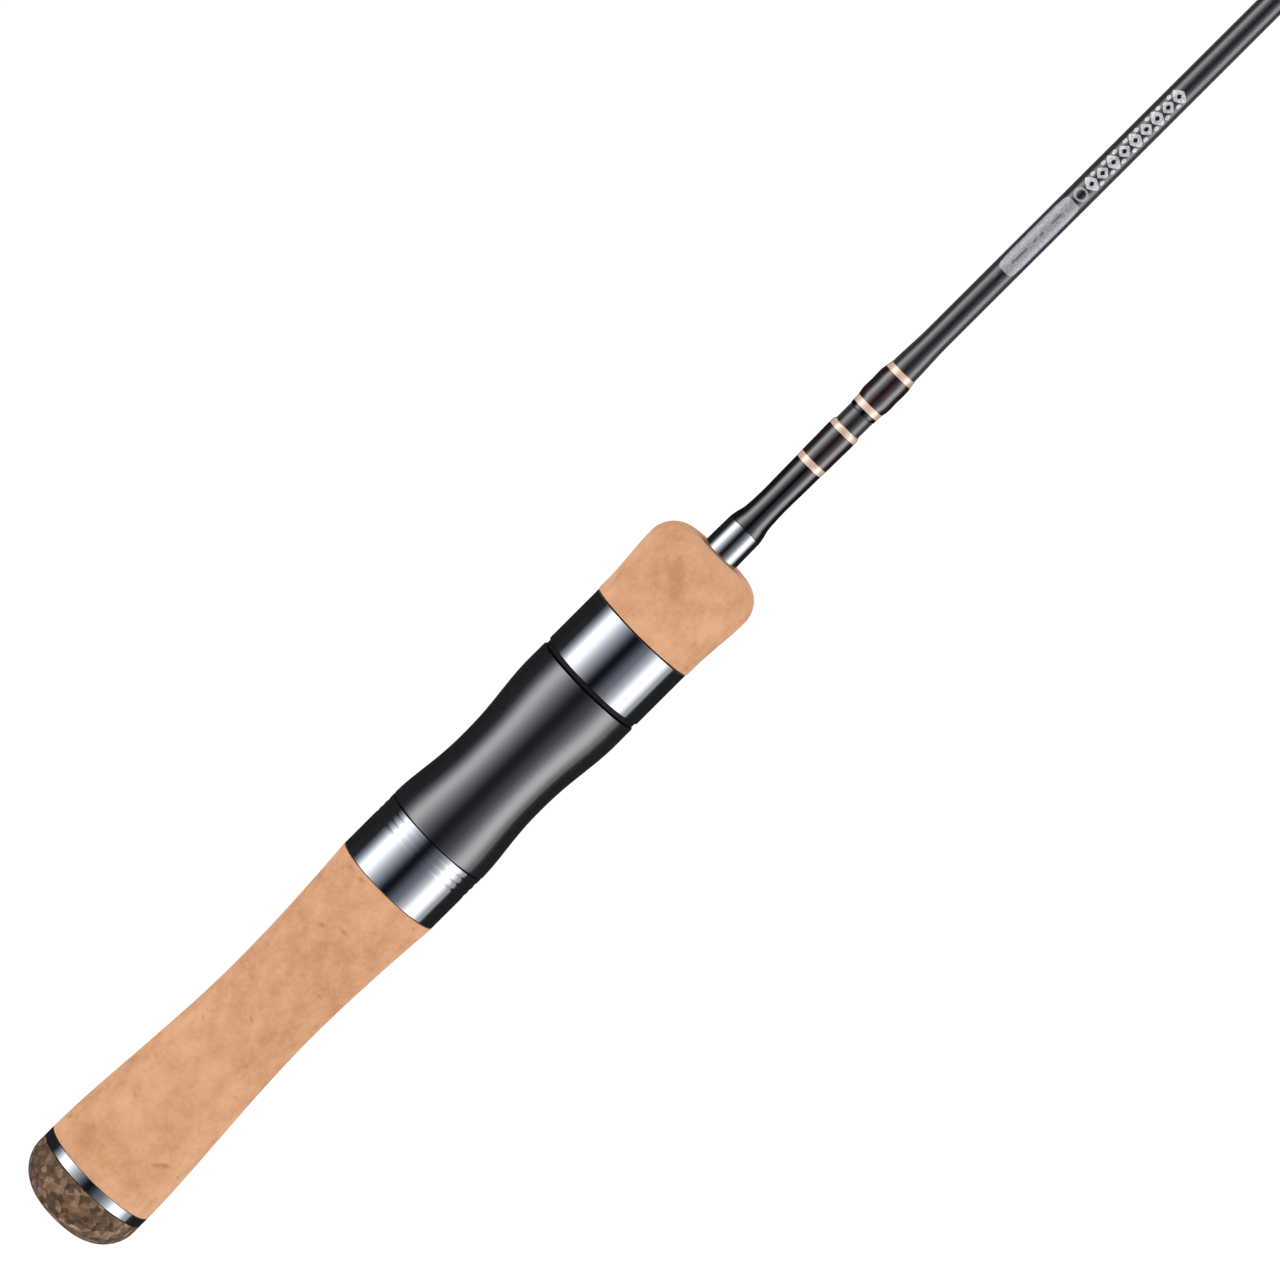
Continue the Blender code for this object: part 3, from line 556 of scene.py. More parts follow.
def make_fore_grip():
    xs, rs = stations("fore_grip")
    start, end = xs[0], xs[-1]
    widest = rs.max()
    corner_x = end - FRONT_ROUNDING
    back = xs < corner_x + 0.01
    x = np.linspace(start, corner_x, 80)
    flare = np.column_stack([x, smooth_through(xs[back], rs[back], x)])
    a = np.linspace(math.pi / 2, 0, 40)[1:]
    corner = np.column_stack([corner_x + FRONT_ROUNDING * np.cos(a),
                              widest - FRONT_ROUNDING + FRONT_ROUNDING * np.sin(a)])
    hole = radius("winding_check") + CHECK_CLEARANCE
    inside = radius("locking_nut") - NUT_OVERLAP
    wall = end - FRONT_WALL
    b = np.linspace(0, math.pi / 2, 12)
    lead_in = np.column_stack([end - BORE_ROUNDING + BORE_ROUNDING * np.cos(b),
                               hole + BORE_ROUNDING - BORE_ROUNDING * np.sin(b)])
    tail = np.array([(wall, hole), (wall, inside), (start, inside)])
    outline = np.vstack([flare, corner, lead_in, tail])
    outside = np.arange(len(outline)) < len(flare) + 25
    relief, darkness = pores(outline, outside, CORK_SEGMENTS, 26, 21)
    finished("fore_grip_cork", [turned(outline, CORK_SEGMENTS, relief=relief)], cork, "locking_knob",
             ["fore_grip"], attribute=("pit", darkness))


make_rear_grip()
make_fore_grip()


# %% [markdown]
# ## Rubberised cork
#
# The butt cap takes the knocks, so it is ground cork bound with dark rubber and pressed. One sees chips a
# millimetre or two across, some pale, most brown. Voronoi cells are such chips: each cell gets its own
# colour from its random value, and the surface is left slightly uneven between them.

# %% The butt cap
def make_rubber_cork():
    material, tree, shader, in_mm = new_material("rubberised_cork")
    wander = add(tree, "ShaderNodeTexNoise", {"Vector": in_mm, "Scale": 1 / 1.2, "Detail": 2.0})
    shifted = blend(tree, 0.35, in_mm, wander.outputs["Color"], "VECTOR")
    chips = add(tree, "ShaderNodeTexVoronoi", {"Vector": shifted, "Scale": 1 / 0.75})
    value = add(tree, "ShaderNodeSeparateColor", {"Color": chips.outputs["Color"]}).outputs["Red"]
    mixed = blend(tree, 0.45, value, noise(tree, in_mm, 3.0))
    tone = tones(tree, mixed, [(0.2, "#3E2C1F"), (0.42, "#5B422E"), (0.6, "#71543C"), (0.72, "#86674D"),
                               (0.82, "#AB8D72")])
    connect(tree, shader, {"Base Color": tone, "Roughness": 0.8, "Specular IOR Level": 0.3,
                           "Normal": bump(tree, chips.outputs["Distance"], 0.5, 0.0001, invert=True)})
    return material


def make_butt_cap():
    """An ellipse quarter from the flat end out to the full radius, then straight to the metal ring."""
    full = radius("butt_cap")
    depth, flat = 8.2, 4.0
    a = np.linspace(math.pi, math.pi / 2, 60)
    shoulder = np.column_stack([depth + depth * np.cos(a), flat + (full - flat) * np.sin(a)])
    face = np.column_stack([np.zeros(8), np.linspace(0, flat, 8)])[:-1]
    straight = np.column_stack([np.linspace(depth, cap_end, 10)[1:], np.full(9, full)])
    outline = np.vstack([face, shoulder, straight, [(cap_end, 0.0)]])
    segments = 192
    rng = np.random.default_rng(3)
    roughness = rng.normal(0, 0.018, (len(outline), segments))
    roughness[outline[:, 1] < 1.5] = 0
    roughness[-1] = 0
    finished("butt_cap_rubber_cork", [turned(outline, segments, False, relief=roughness)], make_rubber_cork(),
             "handle", ["butt_cap"])


make_butt_cap()


# %% [markdown]
# ## Bright rings
#
# The hoods, the ring at the butt and the winding check are aluminium: turned, polished and clear anodised.
# Polished metal has almost no colour of its own. What tells the eye that it was turned is a set of very
# fine lines round it, so a faint bump runs along the axis only. The edges are broken by a tenth or two of a
# millimetre, and the fixed hood carries three fine grooves near its front edge.

# %% The metal finish and the rings
def make_bright_metal(name, colour):
    material, tree, shader, in_mm = new_material(name)
    along = add(tree, "ShaderNodeMapping", {"Vector": in_mm, "Scale": (1.0, 0.02, 0.02)})
    # Turning lines are a few hundredths of a millimetre apart; drawn at 0.12 mm so that they show.
    lines = noise(tree, along.outputs[0], 0.12)
    connect(tree, shader, {"Base Color": (*colour, 1.0), "Metallic": 1.0,
                           "Roughness": within(tree, lines, 0.09, 0.17),
                           "Normal": bump(tree, lines, 0.05, 0.00002)})
    return material


bright_metal = make_bright_metal("polished_anodised_aluminium", (0.4, 0.415, 0.44))
dark_metal = make_bright_metal("grey_anodised_aluminium", (0.08, 0.085, 0.1))
EDGE = 0.18             # rounding of the rings' corners
HOOD_WALL = 1.5
HOOD_LIP = 1.3


def make_ring(name, body, node, bore, grooves=()):
    """A ring with broken edges. Each groove is a shallow round-bottomed channel, given by its place."""
    start, end = span(node)
    full = radius(node)
    x = np.linspace(start + EDGE, end - EDGE, 120)
    r = np.full_like(x, full)
    for place, width, depth in grooves:
        r -= depth * np.exp(-((x - place) / width) ** 2)
    head = rounded([(start, bore, 0), (start, full, EDGE), (start + 1, full, 0)], closed=False)[:-1]
    tail = rounded([(end - 1, full, 0), (end, full, EDGE), (end, bore, 0)], closed=False)[1:]
    outline = np.vstack([head, np.column_stack([x, r])[1:-1], tail])
    finished(name, [turned(outline, 160)], bright_metal, body, [node], sharp_deg=50)


make_ring("butt_ring_bright", "handle", "butt_trim_ring", radius("handle_blank") + TUBE_CLEARANCE)
hood_bore = radius("rear_hood") - HOOD_WALL
make_ring("rear_hood_bright", "handle", "rear_hood", hood_bore,
          [(hood_end - offset, 0.4, 0.11) for offset in (4.6, 3.1, 1.6)])


def make_moving_hood():
    """The sliding hood: a ring with a wider bore behind an inner lip, which holds the locking nut."""
    full = radius("moving_hood")
    lip = radius("locking_nut") - NUT_OVERLAP
    lip_start = slider_end - HOOD_LIP
    corners = [(slider_start, full, EDGE), (slider_end, full, EDGE), (slider_end, lip, 0.1),
               (lip_start, lip, 0.1), (lip_start, hood_bore, 0), (slider_start, hood_bore, 0.1)]
    outline = rounded(corners, step=0.25)
    finished("moving_hood_bright", [turned(outline, 160)], bright_metal, "sliding_hood",
             ["moving_hood"], sharp_deg=50)


make_moving_hood()


CHECK_OVERHANG = 0.8    # the bright face runs on over the first turns of thread


def make_winding_check():
    start, end = span("winding_check")
    end += CHECK_OVERHANG
    full = radius("winding_check")
    bore = radius("handle_blank") + 0.1
    corners = [(start, full, 0.25), (end, full - 0.12, 0.3), (end, bore, 0), (start, bore, 0)]
    finished("winding_check_bright", [turned(rounded(corners, step=0.3), 96)], bright_metal, "handle",
             ["winding_check"], sharp_deg=50)


make_winding_check()


# %% [markdown]
# ## The reel seat
#
# The seat is one moulding of glass-filled nylon, sprayed gloss black: a waisted body with a flat bed for
# the reel's foot on its far side, then a threaded barrel under the moving hood. A box could be cut away for
# the flat, but pressing every point that lies below the bed up to it gives the same flat in one line. The
# thread is worked out from the turn and the place along the rod, in step with the nut's.

# %% The seat's finish and surface
def make_black_gloss():
    material, tree, shader, in_mm = new_material("gloss_black_nylon")
    haze = noise(tree, in_mm, 2.5, 3.0)
    orange_peel = noise(tree, in_mm, 0.5, 1.0)
    connect(tree, shader, {"Base Color": srgb("#101217"), "Roughness": within(tree, haze, 0.24, 0.3),
                           "Normal": bump(tree, orange_peel, 0.06, 0.00004), "Specular IOR Level": 0.35,
                           "Coat Weight": 1.0, "Coat IOR": 1.95, "Coat Roughness": 0.18})
    return material


black_gloss = make_black_gloss()
THREAD_PITCH = 2.5
THREAD_ROOT = 7.2       # radius under the barrel's thread
THREAD_DEPTH = 0.7
BED = 6.05              # from the axis down to the flat that the reel's foot sits on
POCKET = 5.85           # the same under the two hoods
KEY = 7.2               # from the axis up to the flat that keeps the moving hood from turning
SEAT_BORE = 4.7
SEAM = 0.1
CLOSED_GAP = 1.2        # seat body to moving hood
BARREL_LEAD = 1.0       # unthreaded end of the barrel


def threaded(x, a, start, end, runout):
    """Height of the thread: a rounded wave of x / pitch - a / turn, fading out over a pitch at both ends."""
    phase = (x - slider_start) / THREAD_PITCH - a / math.tau
    fade = np.clip(np.minimum(x - start, end - x) / THREAD_PITCH, 0, 1)
    wave = 1 - np.abs(2 * (phase % 1.0) - 1)
    wave = wave * wave * (3 - 2 * wave)
    return THREAD_DEPTH * (wave * fade + runout * (1 - fade))


def push_out(points, a, height):
    """Move the points of a turned shell away from the axis by a height."""
    points[..., 1] -= height * np.sin(a)
    points[..., 2] += height * np.cos(a)


def make_seat():
    segments = 160
    core = hood_bore - 0.15
    bore = SEAT_BORE
    shoulder = radius("reel_seat_body")
    xs, rs = stations("reel_seat_body")
    body_start = hood_end + SEAM
    body_end = slider_start - CLOSED_GAP
    on_body = (xs > body_start + 0.3) & (xs < body_end - 0.3)
    x = np.linspace(xs[on_body][0], xs[on_body][-1], 170)
    body = np.column_stack([x, smooth_through(xs[on_body], rs[on_body], x)])
    thread_start, thread_end = slider_start, seat_end - BARREL_LEAD
    barrel = np.column_stack([np.linspace(thread_start, thread_end, 230), np.full(230, THREAD_ROOT)])
    head = [(seat_start, bore), (seat_start, core), (seat_start + 4.6, core), (seat_start + 5.0, core),
            (body_start - 0.02, core), (body_start, core), (body_start, shoulder - 0.3),
            (body_start + 0.15, shoulder - 0.08)]
    neck = [(body_end - 0.12, shoulder - 0.1), (body_end, shoulder - 0.35), (body_end, THREAD_ROOT),
            (body_end + 0.05, THREAD_ROOT)]
    tail = [(seat_end, THREAD_ROOT - 0.6), (seat_end, bore)]
    outline = np.vstack([head, body, neck, barrel, tail])
    points, _, _ = turned(outline, segments)
    a = round_angles(segments)
    grid_x = points[..., 0]
    on_thread = (grid_x >= thread_start) & (grid_x <= thread_end)
    height = np.where(on_thread, threaded(grid_x, a, thread_start, thread_end, 0.0), 0.0)
    push_out(points, a, height)
    floor = np.where(grid_x > body_start - 0.01, np.where(grid_x > body_end + 0.01, -POCKET, -BED), -POCKET)
    in_flat = (grid_x > seat_start + 4.8) & (np.hypot(points[..., 1], points[..., 2]) > bore + 0.5)
    points[..., 2] = np.where(in_flat, np.maximum(points[..., 2], floor), points[..., 2])
    on_barrel = grid_x > thread_start
    points[..., 2] = np.where(on_barrel, np.minimum(points[..., 2], KEY), points[..., 2])
    finished("reel_seat_gloss", [(points, True, True)], black_gloss, "handle",
             ["reel_seat_body"], sharp_deg=38)


make_seat()

# %% [markdown]
# The liner inside the moving hood and the arbors inside the seat are plain mouldings that hardly show, and
# their shapes in the frame are already right. They keep their meshes and only get a proper finish. The
# locking nut shows when the knob is screwed off, so it is turned again with a finer thread.

# %% Hidden mouldings and the locking nut
def make_foam():
    material, tree, shader, in_mm = new_material("rigid_arbor_foam")
    cells = add(tree, "ShaderNodeTexVoronoi", {"Vector": in_mm, "Scale": 1 / 0.4}).outputs["Distance"]
    tone = tones(tree, cells, [(0.1, "#3A3A3E"), (0.7, "#56565C")])
    connect(tree, shader, {"Base Color": tone, "Roughness": 0.9})
    return material


def make_bare_nylon():
    """Black nylon as it leaves the mould: a fine spark-eroded texture and no lacquer."""
    material, tree, shader, in_mm = new_material("bare_black_nylon")
    texture = noise(tree, in_mm, 0.15)
    connect(tree, shader, {"Base Color": srgb("#08090A"), "Specular IOR Level": 0.2, "Roughness": 0.6,
                           "Normal": bump(tree, texture, 0.3, 0.00002)})
    return material


def paint(node, material):
    """Give a frame node that stays visible its finish."""
    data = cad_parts[node].data
    data.materials.clear()
    data.materials.append(material)


foam = make_foam()
paint("seat_arbor_rear", foam)
paint("seat_arbor_front", foam)
paint("hood_liner", make_bare_nylon())


def make_nut():
    start, end = span("locking_nut")
    flange = radius("locking_nut")
    body = flange - 0.9
    crest = THREAD_ROOT + 0.4 + THREAD_DEPTH
    flange_end = start + 1.8
    thread = np.column_stack([np.linspace(end - 2.0, start + 1.0, 190), np.full(190, crest - THREAD_DEPTH)])
    head = rounded([(start, crest, 0.1), (start, flange, 0.15), (flange_end, flange, 0.15),
                    (flange_end, body, 0.1), (end, body, 0.2), (end, crest, 0.1)], closed=False)
    outline = np.vstack([head, thread])
    segments = 128
    points, _, _ = turned(outline, segments)
    a = round_angles(segments)
    inner = np.arange(len(outline))[:, None] >= len(head)
    height = np.where(inner, threaded(points[..., 0], a, start + 1.0, end - 2.0, 1.0), 0.0)
    push_out(points, a, height)
    finished("locking_nut_fine", [(points, True, True)], black_gloss, "locking_knob",
             ["locking_nut"])


make_nut()


# %% [markdown]
# ## Thread windings
#
# Guides and joints on a rod are bound with nylon thread, a fifth of a millimetre thick, and brushed with
# clear epoxy while the rod turns. The epoxy fills the grooves and swells a little over the thread, so the
# outline is a soft lens and the thread shows only as faint colour lines under the gloss. So the lens is
# geometry, the lines are a stripe in the colour, and the gloss is a clear coat.

# %% Thread finishes
THREAD_SPACING = 0.24


def make_winding(name, dark, light, metallic, base_roughness):
    """Thread under epoxy: a stripe along the rod between two tones, uneven as hand-laid thread is."""
    material, tree, shader, in_mm = new_material(name)
    place = add(tree, "ShaderNodeSeparateXYZ", {"Vector": in_mm})
    turns = add(tree, "ShaderNodeMath", {0: place.outputs["X"], 1: math.tau / THREAD_SPACING},
                operation="MULTIPLY")
    wave = add(tree, "ShaderNodeMath", {0: turns.outputs[0]}, operation="SINE").outputs[0]
    level = add(tree, "ShaderNodeMath", {0: wave, 1: 0.28, 2: noise(tree, in_mm, 1.3, 3.0)},
                operation="MULTIPLY_ADD")
    connect(tree, shader, {"Base Color": tones(tree, level.outputs[0], [(0.25, dark), (0.75, light)]),
                           "Normal": bump(tree, wave, 0.15, 0.00002), "Metallic": metallic,
                           "Roughness": base_roughness, "Specular IOR Level": 0.1, "Coat Weight": 1.0,
                           "Coat IOR": 1.9, "Coat Roughness": 0.08})
    return material


black_thread = make_winding("black_thread_under_epoxy", "#020202", "#070708", 0.0, 0.35)
maroon_thread = make_winding("maroon_thread_under_epoxy", "#160402", "#341008", 0.0, 0.4)
copper_thread = make_winding("copper_thread_under_epoxy", "#D9A988", "#FBE2D0", 0.25, 0.35)


# %% [markdown]
# The windings on the two sides of the ferrule are read as one outline with soft hills, and each colour
# takes its own stretch of it. That way neighbouring bands meet without a step, as thread under one coat of
# epoxy does.

# %% The handle's windings
def make_band(name, start, end, outer, bore, material, body, stands_for=()):
    """A sleeve between two stations whose outside follows the given function of x."""
    x = np.linspace(start, end, max(8, int((end - start) / 0.15)))
    outline = np.vstack([np.column_stack([x, outer(x)]), [(end, bore), (start, bore)]])
    finished(name, [turned(outline, 80)], material, body, stands_for, sharp_deg=60)


blank_radius = radius("handle_blank")
grip_winding_start, grip_winding_end = span("grip_winding")
grip_winding_start += CHECK_OVERHANG
rear_start, rear_end = span("ferrule_winding_rear")
trim_1_start = span("ferrule_trim_1")[0]
trim_2_end = span("ferrule_trim_2")[1]
collar_start, collar_end = span("ferrule_collar")
front_start, front_end = span("ferrule_winding_front")
trim_4_end = span("ferrule_trim_4")[1]


def handle_windings(x):
    """Outline from the winding check to the bare blank: a ramp off the check, level thread, two low hills."""
    check = radius("winding_check") - 0.13
    places = (grip_winding_start - 0.2, grip_winding_start + 1.2, grip_winding_start + 2.6,
              grip_winding_start + 4.2, grip_winding_end - 3.0, grip_winding_end, rear_start + 0.4,
              (rear_start + rear_end) / 2, rear_end, trim_2_end - 0.3, trim_2_end + 0.15)
    heights = (check, 3.62, 3.28, 3.14, 3.1, 3.14, 3.2, 3.24, 3.27, 3.2, blank_radius + 0.02)
    return smooth_through(np.array(places), np.array(heights), x)


winding_bore = blank_radius + 0.01
check_end = span("winding_check")[1] + CHECK_OVERHANG
joint_1 = (grip_winding_end + trim_1_start) / 2
HANDLE_BANDS = (
    ("grip_winding", check_end + 0.02, joint_1, winding_bore, black_thread, "black_winding"),
    ("ferrule_trim_1", joint_1, rear_start, winding_bore, copper_thread, "copper_trim"),
    ("ferrule_winding_rear", rear_start, rear_end, winding_bore, maroon_thread, "maroon_winding"),
    ("ferrule_trim_2", rear_end, trim_2_end, winding_bore, copper_thread, "copper_trim"))
for node, start, end, bore, thread, slot in HANDLE_BANDS:
    make_band(f"{node}_thread", start, end, handle_windings, bore, thread, "handle", [node])


# %% The tip section's windings at the ferrule
def joint_windings(x):
    """Outline in front of the joint: a thin collar, a taller hill of thread, and a ramp down to the blank."""
    places = (collar_start, collar_start + 0.5, collar_end, front_start - 0.1, front_start + 0.9,
              (front_start + front_end) / 2, front_end - 0.6, front_end + 0.4, trim_4_end,
              trim_4_end + 1.2)
    heights = (3.02, 3.04, 3.06, 3.14, 3.33, 3.36, 3.33, 3.16, 3.02, 2.86)
    return smooth_through(np.array(places), np.array(heights), x)


joint_2 = collar_end + 0.05
make_band("ferrule_collar_dark", collar_start, joint_2, joint_windings, winding_bore, dark_metal,
          "tip_section", ["ferrule_collar"])
TIP_BANDS = (
    ("ferrule_trim_3", joint_2, front_start, winding_bore, copper_thread, "copper_trim"),
    ("ferrule_winding_front", front_start, front_end, winding_bore, maroon_thread, "maroon_winding"),
    ("ferrule_trim_4", front_end, trim_4_end, winding_bore - 0.08, copper_thread, "copper_trim"))
for node, start, end, bore, thread, slot in TIP_BANDS:
    make_band(f"{node}_thread", start, end, joint_windings, bore, thread, "tip_section", [node])

# %% [markdown]
# ## The blank
#
# The blank is graphite cloth rolled on a mandrel, ground and coated with clear gloss. It is dark grey with
# a faint silkiness that runs along the fibres, so a noise stretched along the rod shifts its tone and its
# roughness. The male ferrule is ground bare at the back and slides into the handle's tube.

# %% The blank's finish and surfaces
def make_graphite():
    material, tree, shader, in_mm = new_material("clear_coated_graphite")
    fibres = add(tree, "ShaderNodeMapping", {"Vector": in_mm, "Scale": (0.06, 1.0, 1.0)})
    silk = noise(tree, fibres.outputs[0], 0.3, 3.0)
    tone = tones(tree, silk, [(0.3, "#0A0A0B"), (0.7, "#18181A")])
    # Painted sheen: the base colour greys where the tube turns away from the view, standing in for the pale
    # room reflected in the clear coat.
    view_facing_for_painted_sheen = add(tree, "ShaderNodeLayerWeight", {"Blend": 0.5}).outputs["Facing"]
    grey = add(tree, "ShaderNodeMapRange", {"Value": view_facing_for_painted_sheen, "From Min": 0.35, "From Max": 0.8})
    # 57575C is the painted sheen colour, blended in towards the tube's edges.
    connect(tree, shader, {"Base Color": blend(tree, grey.outputs[0], tone, srgb("#57575C"), "RGBA"),
                           "Roughness": within(tree, silk, 0.32, 0.44), "Specular IOR Level": 0.35,
                           "Coat Weight": 0.9, "Coat IOR": 1.8, "Coat Roughness": 0.2})
    return material


graphite = make_graphite()


def make_handle_tube():
    start, end = span("handle_blank")
    bore = 2.35
    corners = [(start, blank_radius, 0.1), (end, blank_radius, 0.12), (end, bore, 0.1), (start, bore, 0.1)]
    finished("handle_tube_graphite", [turned(rounded(corners, step=1.5), 96)], graphite, "handle",
             ["handle_blank"])


tip_xs, tip_rs = stations("tip_blank")
shoulder_x = handle_end + 0.1


def tip_radius(x):
    """Radius of the tip section's blank in front of the joint."""
    ahead = tip_xs > shoulder_x - 0.05
    return np.interp(x, tip_xs[ahead], tip_rs[ahead])


def make_tip_blank():
    male = tip_rs[tip_xs < shoulder_x - 0.05].max()
    x = np.linspace(shoulder_x + 0.12, tip_end - 0.3, 420)
    ground = rounded([(tip_start, 0, 0), (tip_start, male, 0.5), (shoulder_x, male, 0.05)], step=1.5,
                     closed=False)
    taper = np.column_stack([x, tip_radius(x)])
    shoulder = [(shoulder_x, taper[0, 1] - 0.12)]
    end = [(tip_end - 0.1, taper[-1, 1] - 0.1), (tip_end, taper[-1, 1] - 0.35), (tip_end, 0)]
    outline = np.vstack([ground, shoulder, taper, end])
    finished("tip_blank_graphite", [turned(outline, 72, False)], graphite, "tip_section",
             ["tip_blank"])


make_handle_tube()
make_tip_blank()


# %% [markdown]
# ## Silver decoration
#
# A rod carries some printed silver between the ferrule and the first guide. Here it is an ornament only: a
# brushed panel with short dashes, a round spot, and a chain of lozenges. It could be painted by the
# material, but a printed mark has a crisp edge, so each mark is a patch of surface laid over the blank,
# three hundredths of a millimetre proud, with its rim tucked under.

# %% The printed ornament
PANEL_START, PANEL_END = 262.2, 281.2
SPOT_X = 283.1
CHAIN_START, CHAIN_END = 286.0, 309.6
BEAD_OFFSET = 1.35      # from the middle of the chain to the small beads at its sides


def make_silver_ink(name, dark, light):
    material, tree, shader, in_mm = new_material(name)
    tone = tones(tree, noise(tree, in_mm, 0.35), [(0.35, dark), (0.65, light)])
    connect(tree, shader, {"Base Color": tone, "Metallic": 0.2, "Roughness": 0.45, "Coat Weight": 0.6,
                           "Coat Roughness": 0.12})
    return material


def patch(centre_x, half_length, half_width, power, proud=0.03):
    """A mark on the blank: rings of a rounded shape |u/l|^p + |v/w|^p = 1 laid on the cylinder.

    half_width is measured round the blank. The outermost ring is sunk under the surface.
    """
    rings = np.append(np.linspace(0, 1, 12), 1.0)
    turn = round_angles(40)
    c, s = np.cos(turn), np.sin(turn)
    reach = (np.abs(c) ** power + np.abs(s) ** power) ** (-1 / power)
    u = rings[:, None] * (reach * c)[None] * half_length
    v = rings[:, None] * (reach * s)[None] * half_width
    x = centre_x + u
    base = tip_radius(x)
    lift = np.array([proud] * 11 + [proud * 0.7, -proud])[:, None]
    a = v / base
    r = base + lift
    return np.stack([x, r * np.sin(a), r * np.cos(a)], axis=-1), False, True


def make_ornament():
    silver = make_silver_ink("silver_ink", "#A4A5AA", "#DADBDE")
    pewter = make_silver_ink("pewter_ink", "#88898E", "#AAABB0")
    middle = (PANEL_START + PANEL_END) / 2
    panel = [patch(middle, (PANEL_END - PANEL_START) / 2, 2.2, 7), patch(SPOT_X, 1.35, 1.6, 2)]
    finished("ornament_pewter_panel", panel, pewter, "tip_section")
    shells = []
    lozenges = np.linspace(CHAIN_START, CHAIN_END, 9)
    for i, x in enumerate(lozenges):
        shells.append(patch(x, 1.35, 1.9 if i % 2 == 0 else 1.35, 1.15))
    for x in (lozenges[:-1] + lozenges[1:]) / 2:
        for side in (-1, 1):
            grid, wrap_rows, wrap_columns = patch(x, 0.55, 0.42, 2)
            a = side * BEAD_OFFSET / tip_radius(x)
            y, z = grid[..., 1].copy(), grid[..., 2].copy()
            grid[..., 1] = y * math.cos(a) + z * math.sin(a)
            grid[..., 2] = z * math.cos(a) - y * math.sin(a)
            shells.append((grid, wrap_rows, wrap_columns))
    finished("ornament_silver", shells, silver, "tip_section")
    dark = [patch(260.6, 0.75, 0.75, 2, 0.05), patch(SPOT_X, 0.95, 1.05, 2, 0.06)]
    for x in lozenges:
        dark.append(patch(x, 0.55, 0.5, 1.3, 0.06))
    finished("ornament_black_marks", dark, black_gloss, "tip_section")
    dashes = [patch(x, half, 0.2, 4, 0.06)
              for x, half in ((266.4, 2.2), (270.6, 0.5), (272.4, 0.5), (276.6, 1.4))]
    grey = make_silver_ink("grey_ink", "#5A5B60", "#74757A")
    finished("ornament_grey_dashes", dashes, grey, "tip_section")


make_ornament()


# %% [markdown]
# ## Guides
#
# A guide is a stamped steel frame that holds a dark ceramic ring, with one foot that is bound to the blank.
# The frame is made as a smith would think of it: a hoop for the ring, two bent legs, and a flat foot that
# thins towards its end. Legs are a round section carried along a curve, and the hoop is an outline turned
# about the ring's own axis.

# %% Guide finishes
def make_guide_steel():
    material, tree, shader, in_mm = new_material("polished_stainless")
    smear = noise(tree, in_mm, 0.8)
    connect(tree, shader, {"Base Color": (0.5, 0.5, 0.52, 1.0), "Metallic": 1.0,
                           "Roughness": within(tree, smear, 0.16, 0.28)})
    return material


def make_ceramic():
    material, tree, shader, in_mm = new_material("black_ceramic")
    tone = tones(tree, noise(tree, in_mm, 1.5, 1.0), [(0.3, "#141416"), (0.7, "#1E1E21")])
    connect(tree, shader, {"Base Color": tone, "Roughness": 0.08, "IOR": 2.1})
    return material


guide_steel = make_guide_steel()
ceramic = make_ceramic()


# %% Guide shapes
def hoop(centre_x, centre_z, outer, inner, width, corner, segments=72):
    """A ring about a line parallel to the rod: a rounded box section turned about (centre_x, centre_z)."""
    half = width / 2
    corners = [(centre_x - half, inner, corner), (centre_x - half, outer, corner),
               (centre_x + half, outer, corner), (centre_x + half, inner, corner)]
    return turned(rounded(corners, arc_points=6), segments, centre=(0.0, centre_z))


def leg(start, pull_start, pull_end, end, thickness):
    """A round bar along a cubic curve from start to end, its section carried square to the curve."""
    t = np.linspace(0, 1, 26)[:, None]
    p = [np.array(q, dtype=float) for q in (start, pull_start, pull_end, end)]
    path = (1 - t) ** 3 * p[0] + 3 * t * (1 - t) ** 2 * p[1] + 3 * t ** 2 * (1 - t) * p[2] + t ** 3 * p[3]
    ahead = np.gradient(path, axis=0)
    ahead /= np.linalg.norm(ahead, axis=1)[:, None]
    side = np.cross(ahead, (0.0, 0.0, 1.0))
    side /= np.linalg.norm(side, axis=1)[:, None]
    up = np.cross(side, ahead)
    a = round_angles(14)
    reach = np.full(26, thickness)
    reach[0] = reach[-1] = 0.0
    ring = np.cos(a)[None, :, None] * side[:, None] + np.sin(a)[None, :, None] * up[:, None]
    points = path[:, None] + ring * reach[:, None, None]
    return points, False, True


def foot(start, end, surface, width, thickness):
    """A blade under the blank: an oval section that thins and narrows towards its rear end."""
    x = np.linspace(start, end, 24)
    share = (x - start) / (end - start)
    grow = np.clip(share / 0.5, 0.0, 1.0)
    half_width = width / 2 * (0.45 + 0.55 * grow)
    half_height = thickness / 2 * (0.25 + 0.75 * grow)
    half_width[0] = half_width[-1] = 0.0
    half_height[0] = half_height[-1] = 0.0
    middle = -(surface + thickness / 2 * (0.25 + 0.75 * grow))
    a = round_angles(20)
    y = half_width[:, None] * np.sign(np.cos(a)) * np.abs(np.cos(a)) ** 0.6
    z = middle[:, None] + half_height[:, None] * np.sign(np.sin(a)) * np.abs(np.sin(a)) ** 0.6
    return np.stack([np.repeat(x[:, None], 20, axis=1), y, z], axis=-1), False, True


